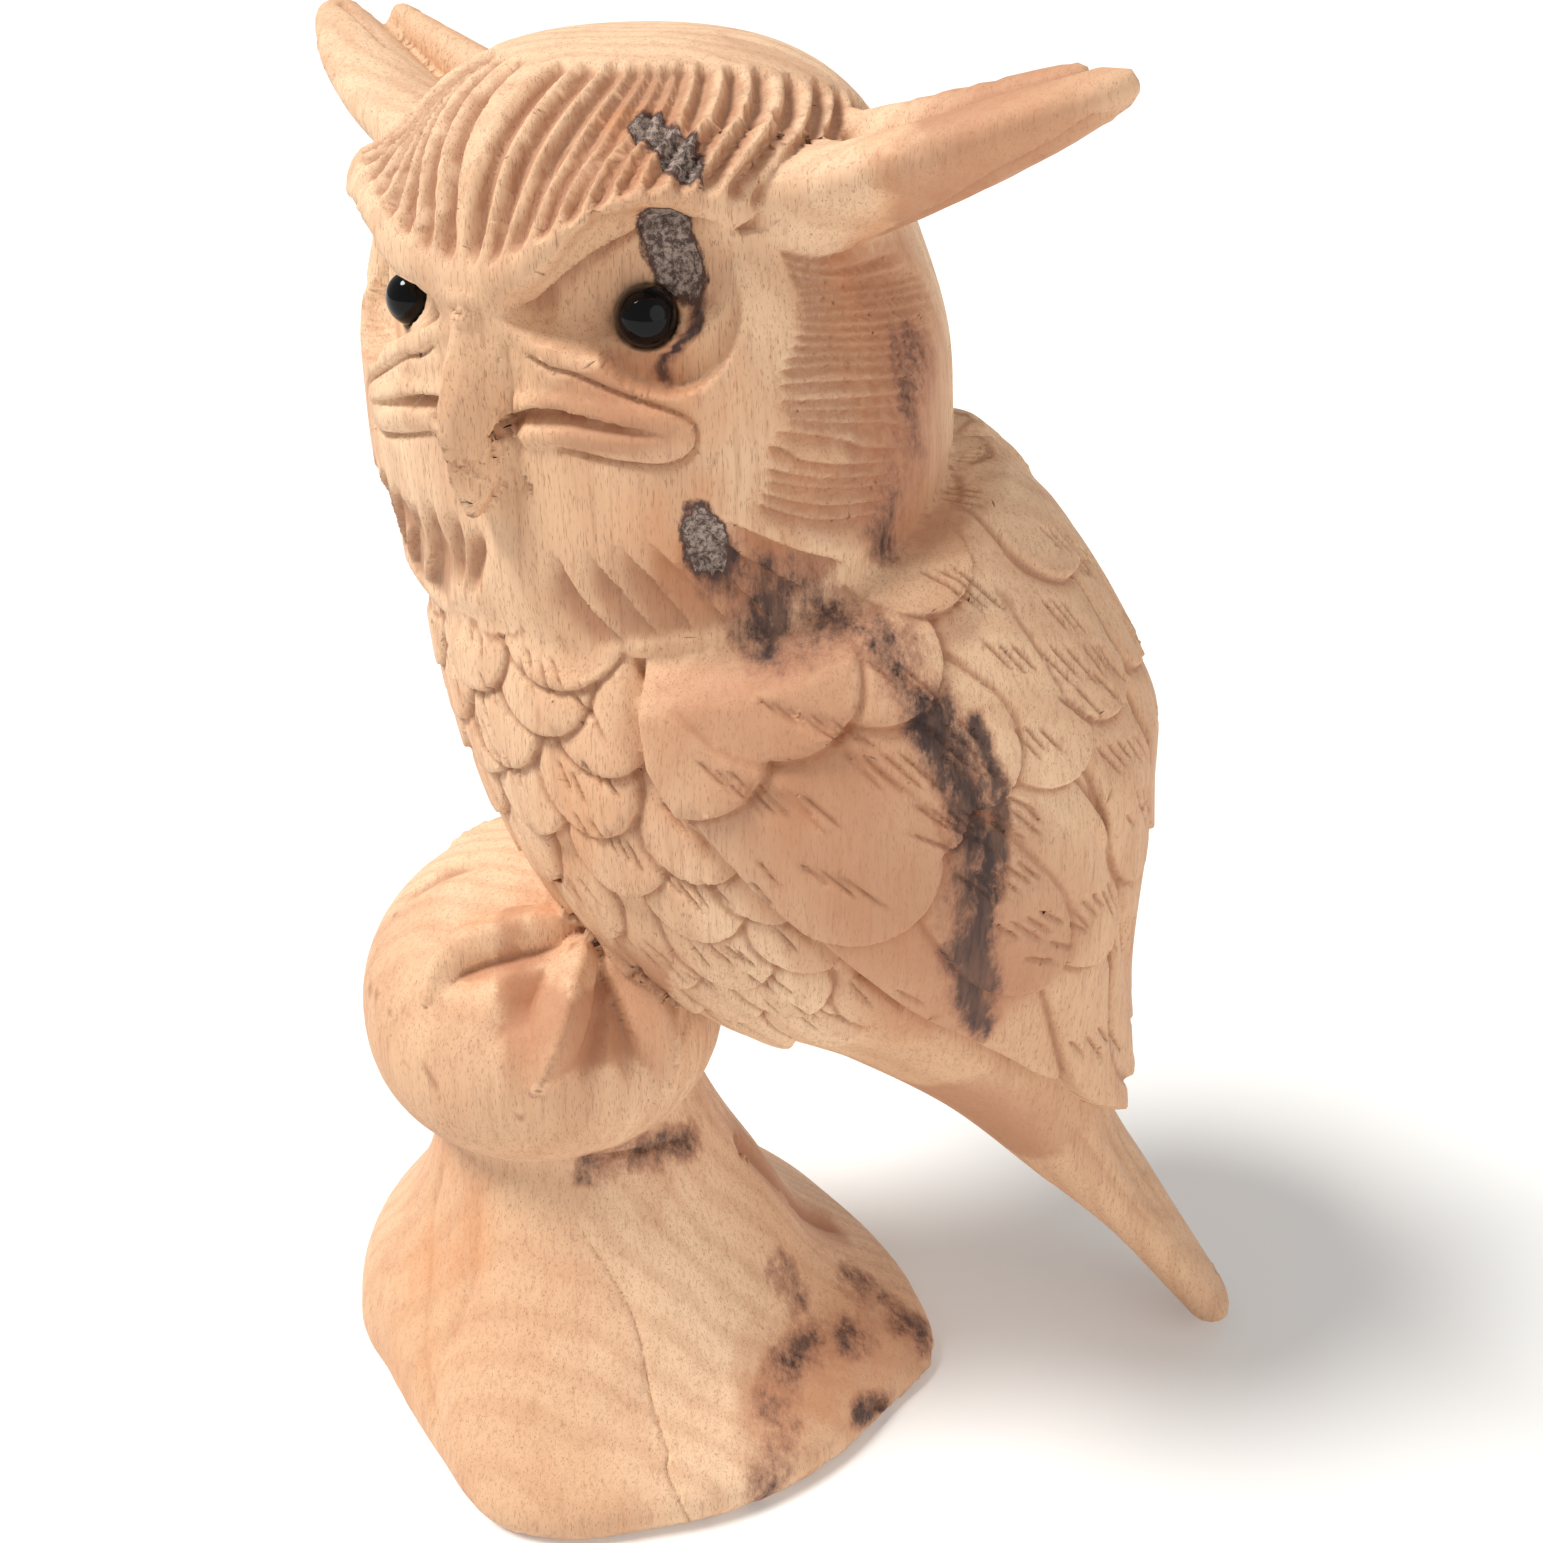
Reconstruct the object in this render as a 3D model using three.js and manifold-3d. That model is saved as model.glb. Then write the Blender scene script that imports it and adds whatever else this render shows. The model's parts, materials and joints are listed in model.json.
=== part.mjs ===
// A horned owl on a stump, carved from one block of pale brown wood, with two black glass bead eyes.
// Millimetres, +Z up. The origin is the middle of the flat underside of the stump.
// The body faces -Y, the owl's own left is +X, and the head is turned towards its left.
import * as THREE from 'three';
import Module from 'manifold-3d';
import { mergeVertices } from 'three/addons/utils/BufferGeometryUtils.js';

const wasm = await Module();
wasm.setup();

const { degToRad: rad, lerp, clamp } = THREE.MathUtils;
const vector = (x, y, z) => new THREE.Vector3(x, y, z);

// Stump: stations up from the flat underside, and how far its knife-cut foot reaches every 15 degrees
const STUMP = [
  { y: -2.5, z: 0, round: 60.5 },
  { y: -5.5, z: 9, round: 61.5 },
  { y: -12.5, z: 26, round: 50 },
  { y: -11.5, z: 44, round: 39.5 },
  { y: -12.5, z: 60, round: 32 },
  { y: -15, z: 80, round: 26 },
];
const FOOT_REACH = [
  61, 55, 54, 57, 64, 63, 60, 60, 61, 63, 66, 74,
  70, 65, 62, 63, 65, 66, 66, 67, 68, 69, 68, 65,
];
const FOOT_ROUND = 64;

// Perch: the rounded lump that the feet grip
const PERCH_AT = vector(0, -18, 98);
const PERCH = { wide: 37, deep: 37, up: 34, down: 30, underRound: 0.85 };

// Toes of the owl's left foot, as places on the perch: t down from its top, degrees round from its front
const TOES = [
  { path: [[0.19, 122], [0.15, 84], [0.21, 50], [0.33, 43]], wide: [4, 5, 5, 3] },
  { path: [[0.19, 118], [0.31, 98], [0.47, 86]], wide: [4, 6, 3] },
  { path: [[0.21, 127], [0.35, 128], [0.54, 123]], wide: [4, 6, 3] },
];

const TOE_LIFT = 0.5;
const RIGHT_TOE_LIFT = -1.5;

// Body and tail: stations down the spine
const SPINE = [
  { y: 12, z: 216, wide: 36, front: 43, back: 38 },
  { y: 16, z: 200, wide: 44, front: 51, back: 47 },
  { y: 25, z: 178, wide: 51, front: 56, back: 56 },
  { y: 36, z: 154, wide: 53, front: 56, back: 59 },
  { y: 47, z: 132, wide: 50, front: 48, back: 58 },
  { y: 61, z: 111, wide: 41, front: 32, back: 45 },
  { y: 78, z: 87, wide: 29, front: 22, back: 23 },
  { y: 95, z: 61, wide: 21, front: 15, back: 9 },
  { y: 113, z: 34, wide: 15, front: 9, back: 6 },
  { y: 133, z: 4, wide: 9, front: 6, back: 4 },
];
const TAIL_LEAN = 9;

// Feathers: rows of overlapping tongues, each rising to a rounded edge that drops to the next row.
// Every tongue is four columns of the skin wide, and alternate rows are shifted by half a tongue.
const SKIN_COLUMNS = 64;
const SKIN_ROWS = 26;
const BREAST_TIPS = [0.095, 0.14, 0.19, 0.245, 0.3, 0.35, 0.4, 0.45];
const BREAST_COLUMNS = 14;
const BREAST_PROUD = 1.8;
const TONGUE_NOTCH = [0, 0.25, 1, 0.25];
const NOTCH_DEEP = 0.026;
const EDGE_DROP = 0.004;
const BELLY_ROWS = [0.5, 0.55, 0.6, 0.66, 0.72, 0.735];
const TAIL_ROWS = [0.82, 0.91, 0.975];

// Wings: the front edge of the left one, and the rows of feathers across it from the front edge to the back
const WING_EDGE = [
  { t: 0.05, angle: 88 },
  { t: 0.12, angle: 77 },
  { t: 0.18, angle: 71 },
  { t: 0.25, angle: 72 },
  { t: 0.31, angle: 78 },
  { t: 0.4, angle: 85 },
  { t: 0.55, angle: 95 },
  { t: 0.69, angle: 109 },
  { t: 0.74, angle: 128 },
];
const WING_PROUD = 4.5;
const WING_PARTING = 3;
const FEATHER_PROUD = 1.7;
const WING_TIPS = [
  { row: 6, front: 0.236, back: 0.14 },
  { row: 12, front: 0.385, back: 0.35 },
  { row: 16, front: 0.55, back: 0.52 },
  { row: 20, front: 0.735, back: 0.7 },
];
const FLUTE_DEEP = 1.1;

// Head, in its own frame: x to the owl's left, y to the back, z up
const HEAD_AT = vector(0, 9, 228);
const HEAD_TURN = 49;
const FACE_TILT = 5;
const FACE_SHIFT = 2.2;
const FACE_FLAT = { from: 38, soft: 7 };
const HEAD = { wide: 52, deep: 48, back: 52, crown: 55.5, chin: 50, crownRound: 0.72, chinRound: 0.62 };
const HEAD_COLUMNS = 36;
const HEAD_ROWS = 26;
const CROWN_TAPER = 0.12;
const CROWN_FORWARD = 3;
const HEAD_CUT = 1.3;

const EYE = vector(24.3, -33, 17.9);
const BEAD_RADIUS = 4.6;
const SOCKET_AT = vector(29.5, -41, 20);
const SOCKET = { wide: 12.5, deep: 12.5, high: 11.5 };
const INNER_AT = vector(18.5, -46, 18);
const INNER = { wide: 10, deep: 10, high: 8 };
const FIT_GAP = 0.3;

const BROW = {
  path: [vector(4, -44, 21), vector(16, -41.5, 27), vector(29, -33, 31.5), vector(37, -17, 32.5), vector(41, -4, 31)],
  wide: [3.5, 4, 5, 6, 6],
  high: [2.5, 4, 5.5, 5, 4],
};
const BEAK = {
  path: [vector(0, -41, 23), vector(0, -45.5, 12), vector(0, -46, -1), vector(0, -43, -15)],
  wide: [5.5, 6, 5, 2],
  high: [3, 4, 4.5, 3],
};
const MOUTH = { x: 20, z: 2, long: 11, high: 3.8, rim: 2 };

// Ears: a broad front lobe and a shorter back lobe, with a groove between them
const EAR_FRONT = {
  path: [vector(28, -8, 31), vector(50, -3, 38.5), vector(68, 3, 46.5), vector(82, 10, 53)],
  wide: [14, 12, 9, 4.5],
  high: [9, 8, 6, 3.5],
};
const EAR_BACK = {
  path: [vector(30, 11, 31), vector(50, 14, 39), vector(70, 18, 49)],
  wide: [7, 6.5, 3.5],
  high: [8, 7, 3.5],
};
const EAR_UP = vector(0, 0.3, 0.95);

// The value at t, from 0 at the first to 1 at the last, of a smooth curve through a list of numbers
function along(values, t) {
  const last = values.length - 1;
  const x = clamp(t, 0, 1) * last;
  const i = Math.min(Math.floor(x), last - 1);
  const f = x - i;
  const at = (k) => values[clamp(k, 0, last)];
  const start = (at(i + 1) - at(i - 1)) / 2;
  const end = (at(i + 2) - at(i)) / 2;
  return (2 * f ** 3 - 3 * f ** 2 + 1) * at(i) + (f ** 3 - 2 * f ** 2 + f) * start +
    (3 * f ** 2 - 2 * f ** 3) * at(i + 1) + (f ** 3 - f ** 2) * end;
}

const station = (stations, key, t) => along(stations.map((s) => s[key]), t);

// Rises smoothly from 0 to 1 as x passes from low to high
function smooth(low, high, x) {
  const f = clamp((x - low) / (high - low), 0, 1);
  return f * f * (3 - 2 * f);
}

// A quarter round at each end of t, so that the poles of a skin close smoothly
function roundedEnds(t, start, end) {
  const arc = (x) => Math.sqrt(1 - (1 - clamp(x, 0, 1)) ** 2);
  return arc(t / start) * arc((1 - t) / end);
}

function moved(geometry, place) {
  const position = geometry.attributes.position;
  for (let i = 0; i < position.count; i++) {
    const at = vector().fromBufferAttribute(position, i);
    position.setXYZ(i, ...place(at));
  }
  return geometry;
}

// A unit sphere moved to place(t, angle): t runs from pole to pole, and angle is round their axis
function skin(around, steps, place) {
  return moved(new THREE.SphereGeometry(1, around, steps), (v) => {
    const angle = Math.hypot(v.x, v.z) < 1e-6 ? 0 : Math.atan2(v.x, v.z);
    return place(Math.acos(clamp(v.y, -1, 1)) / Math.PI, angle);
  });
}

// A tapering rod along a smooth path, with an oval section: wide across, and high towards up
function rod({ path, wide, high, up, around = 10, steps = 10, blunt = 0.12 }) {
  const curve = new THREE.CatmullRomCurve3(path);
  return skin(around, steps, (t, angle) => {
    const centre = curve.getPoint(t);
    const ahead = curve.getTangent(t);
    const out = up.clone().addScaledVector(ahead, -up.dot(ahead)).normalize();
    const across = out.clone().cross(ahead);
    const round = roundedEnds(t, blunt, blunt);
    centre.addScaledVector(across, along(wide, t) * round * Math.sin(angle));
    centre.addScaledVector(out, along(high, t) * round * Math.cos(angle));
    return centre.toArray();
  });
}

// A closed manifold solid from a three.js geometry; turned round when it was made mirrored
function solid(geometry, isMirrored = false) {
  const bare = geometry.clone();
  bare.deleteAttribute('normal');
  bare.deleteAttribute('uv');
  const merged = mergeVertices(bare, 1e-4);
  const corners = [...merged.index.array];
  if (isMirrored) corners.reverse();
  return new wasm.Manifold(new wasm.Mesh({
    numProp: 3,
    vertProperties: new Float32Array(merged.attributes.position.array),
    triVerts: new Uint32Array(corners),
  }));
}

function geometryOf(made) {
  const mesh = made.getMesh();
  const geometry = new THREE.BufferGeometry();
  const positions = Float32Array.from(mesh.vertProperties);
  geometry.setAttribute('position', new THREE.BufferAttribute(positions, 3));
  geometry.setIndex([...mesh.triVerts]);
  return geometry;
}

const joined = (solids) => solids.reduce((sum, next) => sum.add(next));

// A point of the body's surface: t down the spine, angle 0 at the breast and 90 degrees on the owl's left
function bodyPoint(t, angle, lift = 0) {
  const step = 0.01;
  const at = clamp(t, 0, 1);
  const dy = station(SPINE, 'y', at + step) - station(SPINE, 'y', at - step);
  const dz = station(SPINE, 'z', at + step) - station(SPINE, 'z', at - step);
  const slope = Math.hypot(dy, dz);
  const ends = roundedEnds(at, 0.08, 0.05);
  const wide = station(SPINE, 'wide', at) * ends + lift;
  const deep = station(SPINE, Math.cos(angle) > 0 ? 'front' : 'back', at) * ends + lift;
  const front = deep * Math.cos(angle);
  return [
    wide * Math.sin(angle) + TAIL_LEAN * 2 * Math.max(0, at - 0.5),
    station(SPINE, 'y', at) + front * dz / slope,
    station(SPINE, 'z', at) - front * dy / slope,
  ];
}

// The wing's front edge at t, in degrees round from the breast
function wingEdge(t) {
  const next = WING_EDGE.findIndex((e) => e.t > t);
  if (next < 0) return WING_EDGE.at(-1).angle;
  if (next === 0) return WING_EDGE[0].angle;
  const [a, b] = [WING_EDGE[next - 1], WING_EDGE[next]];
  return lerp(a.angle, b.angle, (t - a.t) / (b.t - a.t));
}

// Where a row of the skin crosses a breast column: two rows to each feather edge, then the belly and tail
function breastRow(row, column) {
  const line = Math.floor(row / 2);
  if (line >= BREAST_TIPS.length) {
    return { t: [...BELLY_ROWS, ...TAIL_ROWS][row - 2 * BREAST_TIPS.length], lift: 0 };
  }
  const notch = TONGUE_NOTCH[(column + 2 * (line % 2)) % 4] * NOTCH_DEEP;
  const isBase = row % 2 === 1;
  return { t: BREAST_TIPS[line] - notch + (isBase ? EDGE_DROP : 0), lift: isBase ? 0 : BREAST_PROUD };
}

// Where a row crosses a wing column: feather edges at the rows of WING_TIPS, and even steps between them
function wingRow(row, column) {
  const toBack = (column - BREAST_COLUMNS - 1) / (SKIN_COLUMNS / 2 - BREAST_COLUMNS - 1);
  const tipAt = (k) => {
    const notch = TONGUE_NOTCH[(column + 2 * (k % 2)) % 4] * NOTCH_DEEP * (k > 1 ? 1.6 : 1);
    return lerp(WING_TIPS[k].front, WING_TIPS[k].back, toBack) - notch;
  };
  const last = WING_TIPS.at(-1).row;
  if (row > last + 1) return { t: TAIL_ROWS[row - last - 2], lift: 0 };
  if (row === last + 1) return { t: tipAt(WING_TIPS.length - 1) + EDGE_DROP, lift: 0 };
  const k = WING_TIPS.findIndex((tip) => row <= tip.row);
  const start = k === 0 ? { row: 0, t: 0.05 } : { row: WING_TIPS[k - 1].row + 1, t: tipAt(k - 1) + EDGE_DROP };
  const f = (row - start.row) / (WING_TIPS[k].row - start.row);
  const flute = k > 1 && f > 0 && column % 4 === 0 ? FLUTE_DEEP * f : 0;
  const shoulder = smooth(-0.5, 3, row);
  return { t: lerp(start.t, tipAt(k), f), lift: (WING_PROUD + FEATHER_PROUD * f) * shoulder - flute };
}

// The skin of the body, wings and tail as one sheet, its columns spread either side of the wing's edge
function bodySkin() {
  const half = SKIN_COLUMNS / 2;
  return skin(SKIN_COLUMNS, SKIN_ROWS, (polar, turn) => {
    const row = Math.round(polar * SKIN_ROWS) - 1;
    if (row < 0 || row > SKIN_ROWS - 2) return bodyPoint(row < 0 ? 0 : 1, 0);
    const signed = Math.round(turn / (2 * Math.PI) * SKIN_COLUMNS);
    const column = Math.abs(signed);
    const isWing = column > BREAST_COLUMNS;
    const { t, lift } = isWing ? wingRow(row, column) : breastRow(row, column);
    const edge = wingEdge(t);
    const angle = isWing
      ? lerp(edge + 0.6, 180, (column - BREAST_COLUMNS - 1) / (half - BREAST_COLUMNS - 1))
      : (edge - 0.6) * column / BREAST_COLUMNS;
    const parting = column === half && row <= WING_TIPS.at(-1).row ? WING_PARTING : 0;
    return bodyPoint(t, rad(angle) * Math.sign(signed), lift - parting);
  });
}

// The face is flattened: whatever lies further forward than it starts is drawn in softly
function flattened(ahead) {
  const past = ahead - FACE_FLAT.from;
  return past > 0 ? FACE_FLAT.from + FACE_FLAT.soft * Math.tanh(past / FACE_FLAT.soft) : ahead;
}

// A point of the head, with flutes over the forehead in every other column and combing in every other row
function headPoint(t, angle) {
  const up = Math.cos(t * Math.PI);
  const power = up > 0 ? HEAD.crownRound : HEAD.chinRound;
  const round = Math.sin(t * Math.PI) ** power;
  const high = up > 0 ? HEAD.crown : HEAD.chin;
  const crown = smooth(-0.1, 0.4, up);
  const column = Math.abs(Math.round(angle / (2 * Math.PI) * HEAD_COLUMNS));
  const row = Math.round(t * HEAD_ROWS);
  const isFluted = column % 2 === 1 && column < 12 && row > 3 && row < 9;
  const isCombed = row % 2 === 1 && row > 9 && row < 21 && column > 6 && column < 14;
  const cut = isFluted || isCombed ? HEAD_CUT : 0;
  const deep = Math.cos(angle) > 0 ? HEAD.deep : HEAD.back;
  return [
    (HEAD.wide * (1 - CROWN_TAPER * crown) - cut) * round * Math.sin(angle),
    -flattened((deep - cut) * round * Math.cos(angle)) - CROWN_FORWARD * crown,
    Math.sign(up) * Math.abs(up) ** power * (high - cut),
  ];
}

// How far forward the head's surface lies at a place on the face
function faceAt(x, z) {
  const power = z > 0 ? HEAD.crownRound : HEAD.chinRound;
  const high = z > 0 ? HEAD.crown : HEAD.chin;
  const round = (1 - (Math.abs(z) / high) ** (2 / power)) ** (power / 2);
  return -flattened(HEAD.deep * round * Math.sqrt(1 - (x / (HEAD.wide * round)) ** 2));
}

function mouthRing() {
  const ring = new THREE.TorusGeometry(1, 0.28, 5, 16);
  return moved(ring, (v) => {
    const x = MOUTH.x + v.x * MOUTH.long;
    const z = MOUTH.z + v.y * MOUTH.high - v.x * 1.5;
    return [x, faceAt(x, z) + 0.5 - v.z / 0.28 * MOUTH.rim, z];
  });
}

function ball(centre, wide, deep, high, around = 14, steps = 10) {
  const geometry = new THREE.SphereGeometry(1, around, steps);
  return geometry.scale(wide, deep, high).translate(centre.x, centre.y, centre.z);
}

// A part on the owl's left and its mirror image on the right; parts of the face share its slight tilt
const faceTurn = new THREE.Matrix4().makeTranslation(FACE_SHIFT, 0, 0)
  .multiply(new THREE.Matrix4().makeRotationY(rad(-FACE_TILT)));
const pair = (geometry) => [solid(geometry), solid(geometry.clone().scale(-1, 1, 1), true)];
const facePair = (geometry) => pair(geometry).map((one) => one.transform(faceTurn.toArray()));
const headPlace = new THREE.Matrix4().makeTranslation(HEAD_AT)
  .multiply(new THREE.Matrix4().makeRotationZ(rad(HEAD_TURN)));

const forward = vector(0, -1, 0);
const socket = ball(SOCKET_AT, SOCKET.wide, SOCKET.deep, SOCKET.high);
const innerCorner = ball(INNER_AT, INNER.wide, INNER.deep, INNER.high, 12, 8);
const seatRadius = BEAD_RADIUS + FIT_GAP;
const seat = ball(EYE, seatRadius, seatRadius, seatRadius);
const headSolid = solid(skin(HEAD_COLUMNS, HEAD_ROWS, headPoint))
  .subtract(joined([...facePair(socket), ...facePair(innerCorner)]))
  .add(joined([
    solid(rod({ ...BEAK, up: forward, steps: 12 })),
    ...facePair(rod({ ...BROW, up: vector(0.3, -1, 0.2), steps: 12 })),
    ...facePair(mouthRing()),
    ...pair(rod({ ...EAR_FRONT, up: EAR_UP, around: 12 })),
    ...pair(rod({ ...EAR_BACK, up: EAR_UP, around: 8, steps: 8 })),
  ]))
  .subtract(joined(facePair(seat)));

function perchPoint(t, angle, lift = 0) {
  const up = Math.cos(t * Math.PI);
  const power = up > 0 ? 1 : PERCH.underRound;
  const round = Math.sin(t * Math.PI) ** power;
  const high = (up > 0 ? PERCH.up : PERCH.down) + lift;
  return vector(
    PERCH_AT.x + (PERCH.wide + lift) * round * Math.sin(angle),
    PERCH_AT.y - (PERCH.deep + lift) * round * Math.cos(angle),
    PERCH_AT.z + Math.sign(up) * Math.abs(up) ** power * high,
  );
}

function toe({ path, wide }, lift = TOE_LIFT) {
  const places = path.map(([t, degrees]) => perchPoint(t, rad(degrees), lift));
  const out = places[1].clone().sub(PERCH_AT).normalize();
  return rod({ path: places, wide, high: wide.map((w) => w * 0.8), up: out, around: 6, steps: 8 });
}

const stump = moved(new THREE.CylinderGeometry(1, 1, 1, 24, 10), (v) => {
  const up = v.y + 0.5;
  const angle = Math.atan2(v.x, v.z);
  const turn = (angle / (2 * Math.PI) + 1) % 1;
  const reach = along([...FOOT_REACH, FOOT_REACH[0]], turn) / FOOT_ROUND;
  const round = Math.hypot(v.x, v.z) * station(STUMP, 'round', up) * lerp(reach, 1, clamp(up * 1.2, 0, 1));
  return [
    round * Math.sin(angle),
    station(STUMP, 'y', up) - round * Math.cos(angle),
    station(STUMP, 'z', up),
  ];
});

const leftToes = TOES.map((one) => toe(one));
const rightToes = TOES.map((one) => toe(one, RIGHT_TOE_LIFT));
const carving = joined([
  solid(bodySkin()),
  headSolid.transform(headPlace.toArray()),
  solid(skin(22, 14, (t, angle) => perchPoint(t, angle).toArray())),
  ...leftToes.map((one) => solid(one)),
  ...rightToes.map((one) => solid(one.scale(-1, 1, 1), true)),
  solid(stump),
]);

function bead(side) {
  const centre = vector(side * EYE.x, EYE.y, EYE.z);
  const sphere = ball(centre, BEAD_RADIUS, BEAD_RADIUS, BEAD_RADIUS, 16, 8);
  return sphere.applyMatrix4(faceTurn).applyMatrix4(headPlace);
}

const wood = new THREE.MeshStandardMaterial({ color: 0xd6a37c, roughness: 0.7, metalness: 0 });
const glass = new THREE.MeshStandardMaterial({ color: 0x101114, roughness: 0.08, metalness: 0 });

const group = new THREE.Group();
function addPiece(name, geometry, material) {
  const mesh = new THREE.Mesh(geometry, material);
  mesh.name = name;
  group.add(mesh);
}

addPiece('owl_carving', geometryOf(carving), wood);
addPiece('eye_left', bead(1), glass);
addPiece('eye_right', bead(-1), glass.clone());

export default group;
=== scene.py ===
# %% [markdown]
# # A carved wooden owl, finished
# The object is one block of pale, fine-grained wood, carved into a horned owl that grips a rounded
# perch on top of a flared stump. Only the two eyes are separate: black glass beads in cut seats.
# We follow the carver: rough out the masses, blend them into one block, then cut the feathers with
# gouges, and at last give the wood its grain, its stains and the grey bark that was left in it.
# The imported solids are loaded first, because they fix the size and the place of everything.

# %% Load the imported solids
import json
import math
import bmesh
import bpy
import numpy as np
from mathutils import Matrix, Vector

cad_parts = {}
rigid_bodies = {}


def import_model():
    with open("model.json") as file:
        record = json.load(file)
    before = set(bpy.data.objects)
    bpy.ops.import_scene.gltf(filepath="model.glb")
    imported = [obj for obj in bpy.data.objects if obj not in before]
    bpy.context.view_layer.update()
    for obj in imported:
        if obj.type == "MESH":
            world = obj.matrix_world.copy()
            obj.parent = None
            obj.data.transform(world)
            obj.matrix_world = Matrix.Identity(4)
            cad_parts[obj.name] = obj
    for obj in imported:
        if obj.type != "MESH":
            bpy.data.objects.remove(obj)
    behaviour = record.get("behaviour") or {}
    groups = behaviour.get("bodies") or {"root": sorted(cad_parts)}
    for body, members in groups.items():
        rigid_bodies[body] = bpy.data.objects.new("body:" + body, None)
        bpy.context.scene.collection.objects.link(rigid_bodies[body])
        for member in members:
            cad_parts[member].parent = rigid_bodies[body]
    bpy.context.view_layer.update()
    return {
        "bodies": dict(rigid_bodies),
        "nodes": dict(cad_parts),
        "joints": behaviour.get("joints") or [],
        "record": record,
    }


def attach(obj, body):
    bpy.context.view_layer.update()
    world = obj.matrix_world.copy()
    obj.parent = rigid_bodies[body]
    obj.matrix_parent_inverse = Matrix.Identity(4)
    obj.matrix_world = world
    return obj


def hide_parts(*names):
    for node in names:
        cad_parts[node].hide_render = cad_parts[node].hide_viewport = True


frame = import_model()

MM = 0.001
rng = np.random.default_rng(7)

# %% [markdown]
# ## Curves through a few numbers
# A carver marks a few widths along a block and joins them by eye. `along` does the same: it runs a
# smooth curve through evenly spaced values. `smooth` is a soft step, and `melt` joins two forms with
# a small hollow between them, as a gouge leaves it; `bite` is its opposite, for cutting away.

# %% Small tools for shapes
def unit(v):
    return v / (np.linalg.norm(v, axis=-1, keepdims=True) + 1e-12)


def along(values, t):
    v = np.asarray(values, float)
    last = len(v) - 1
    x = np.clip(t, 0, 1) * last
    i = np.minimum(x.astype(int), last - 1)
    f = x - i
    at = lambda k: v[np.clip(k, 0, last)]
    if v.ndim == 2:
        f = f[:, None]
    start, end = (at(i + 1) - at(i - 1)) / 2, (at(i + 2) - at(i)) / 2
    return ((2 * f**3 - 3 * f**2 + 1) * at(i) + (f**3 - 2 * f**2 + f) * start
            + (3 * f**2 - 2 * f**3) * at(i + 1) + (f**3 - f**2) * end)


def smooth(low, high, x):
    f = np.clip((x - low) / (high - low), 0, 1)
    return f * f * (3 - 2 * f)


def melt(a, b, soft):
    h = np.clip(0.5 + 0.5 * (b - a) / soft, 0, 1)
    return b + (a - b) * h - soft * h * (1 - h)


def bite(a, b, soft):
    return -melt(-a, -b, soft)

# %% [markdown]
# ## The body as stations down its spine
# The body and tail are one tapering mass. Each station gives its place on the spine (y, z) and its
# half width, depth in front and depth behind, all in millimetres. Each point near the body then has a
# place on it: `t` down the spine and an angle round it, 0 at the breast, 90 on the owl's own left and
# 180 at the back. Later the feathers are laid out in those two numbers.

# %% The body's form
SPINE = np.array([
    # y, z, wide, front, back
    (12, 216, 36, 43, 38), (16, 200, 44, 51, 47), (25, 178, 51, 56, 56), (36, 154, 53, 56, 59),
    (47, 132, 50, 48, 58), (61, 111, 41, 32, 45), (78, 87, 29, 22, 23), (95, 61, 21, 15, 9),
    (113, 34, 15, 9, 6), (133, 4, 9, 6, 4),
], float)
TAIL_LEAN = 9
# even steps down the spine, the station at each step and which way the spine runs there
STEPS = np.linspace(0, 1, 401)
STATIONS = along(SPINE, STEPS)
SLOPES = np.gradient(STATIONS[:, :2], STEPS, axis=0)


def spine_at(t):
    place = np.stack([np.interp(t, STEPS, STATIONS[:, k]) for k in range(5)], 1)
    way = np.stack([np.interp(t, STEPS, SLOPES[:, k]) for k in range(2)], 1)
    speed = np.linalg.norm(way, axis=1)
    return place, way / speed[:, None], speed


def on_body(t, angle, lift=0.0):
    t, angle = np.broadcast_arrays(np.atleast_1d(np.asarray(t, float)), np.asarray(angle, float))
    s, way, _ = spine_at(t)
    turn = np.radians(angle)
    side = (s[:, 2] + lift) * np.sin(turn)
    ahead = (np.where(np.cos(turn) > 0, s[:, 3], s[:, 4]) + lift) * np.cos(turn)
    lean = TAIL_LEAN * 2 * np.maximum(0, t - 0.5)
    return np.stack([side + lean, s[:, 0] + ahead * way[:, 1], s[:, 1] - ahead * way[:, 0]], 1)


def body_form(P):
    coarse = STATIONS[::20, :2]
    t = STEPS[::20][((P[:, None, 1:] - coarse[None]) ** 2).sum(2).argmin(1)]
    for _ in range(5):
        s, way, speed = spine_at(t)
        t = np.clip(t + 0.9 * ((P[:, 1:] - s[:, :2]) * way).sum(1) / speed, 0, 1)
    s, way, _ = spine_at(t)
    # the section is an oval whose front and back halves differ
    off = P[:, 1:] - s[:, :2]
    side = P[:, 0] - TAIL_LEAN * 2 * np.maximum(0, t - 0.5)
    ahead = off[:, 0] * way[:, 1] - off[:, 1] * way[:, 0]
    deep = np.where(ahead > 0, s[:, 3], s[:, 4])
    r = np.hypot(side / s[:, 2], ahead / deep) + 1e-9
    far = (1 - 1 / r) * np.hypot(side, ahead)
    for end, sign, soft in ((-1, 1, 3), (0, -1, 12)):
        past = sign * ((P[:, 1:] - STATIONS[end, :2]) @ unit(SLOPES[end]))
        far = bite(far, past, soft)
    return far, t, np.degrees(np.arctan2(side / s[:, 2], ahead / deep))

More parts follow.
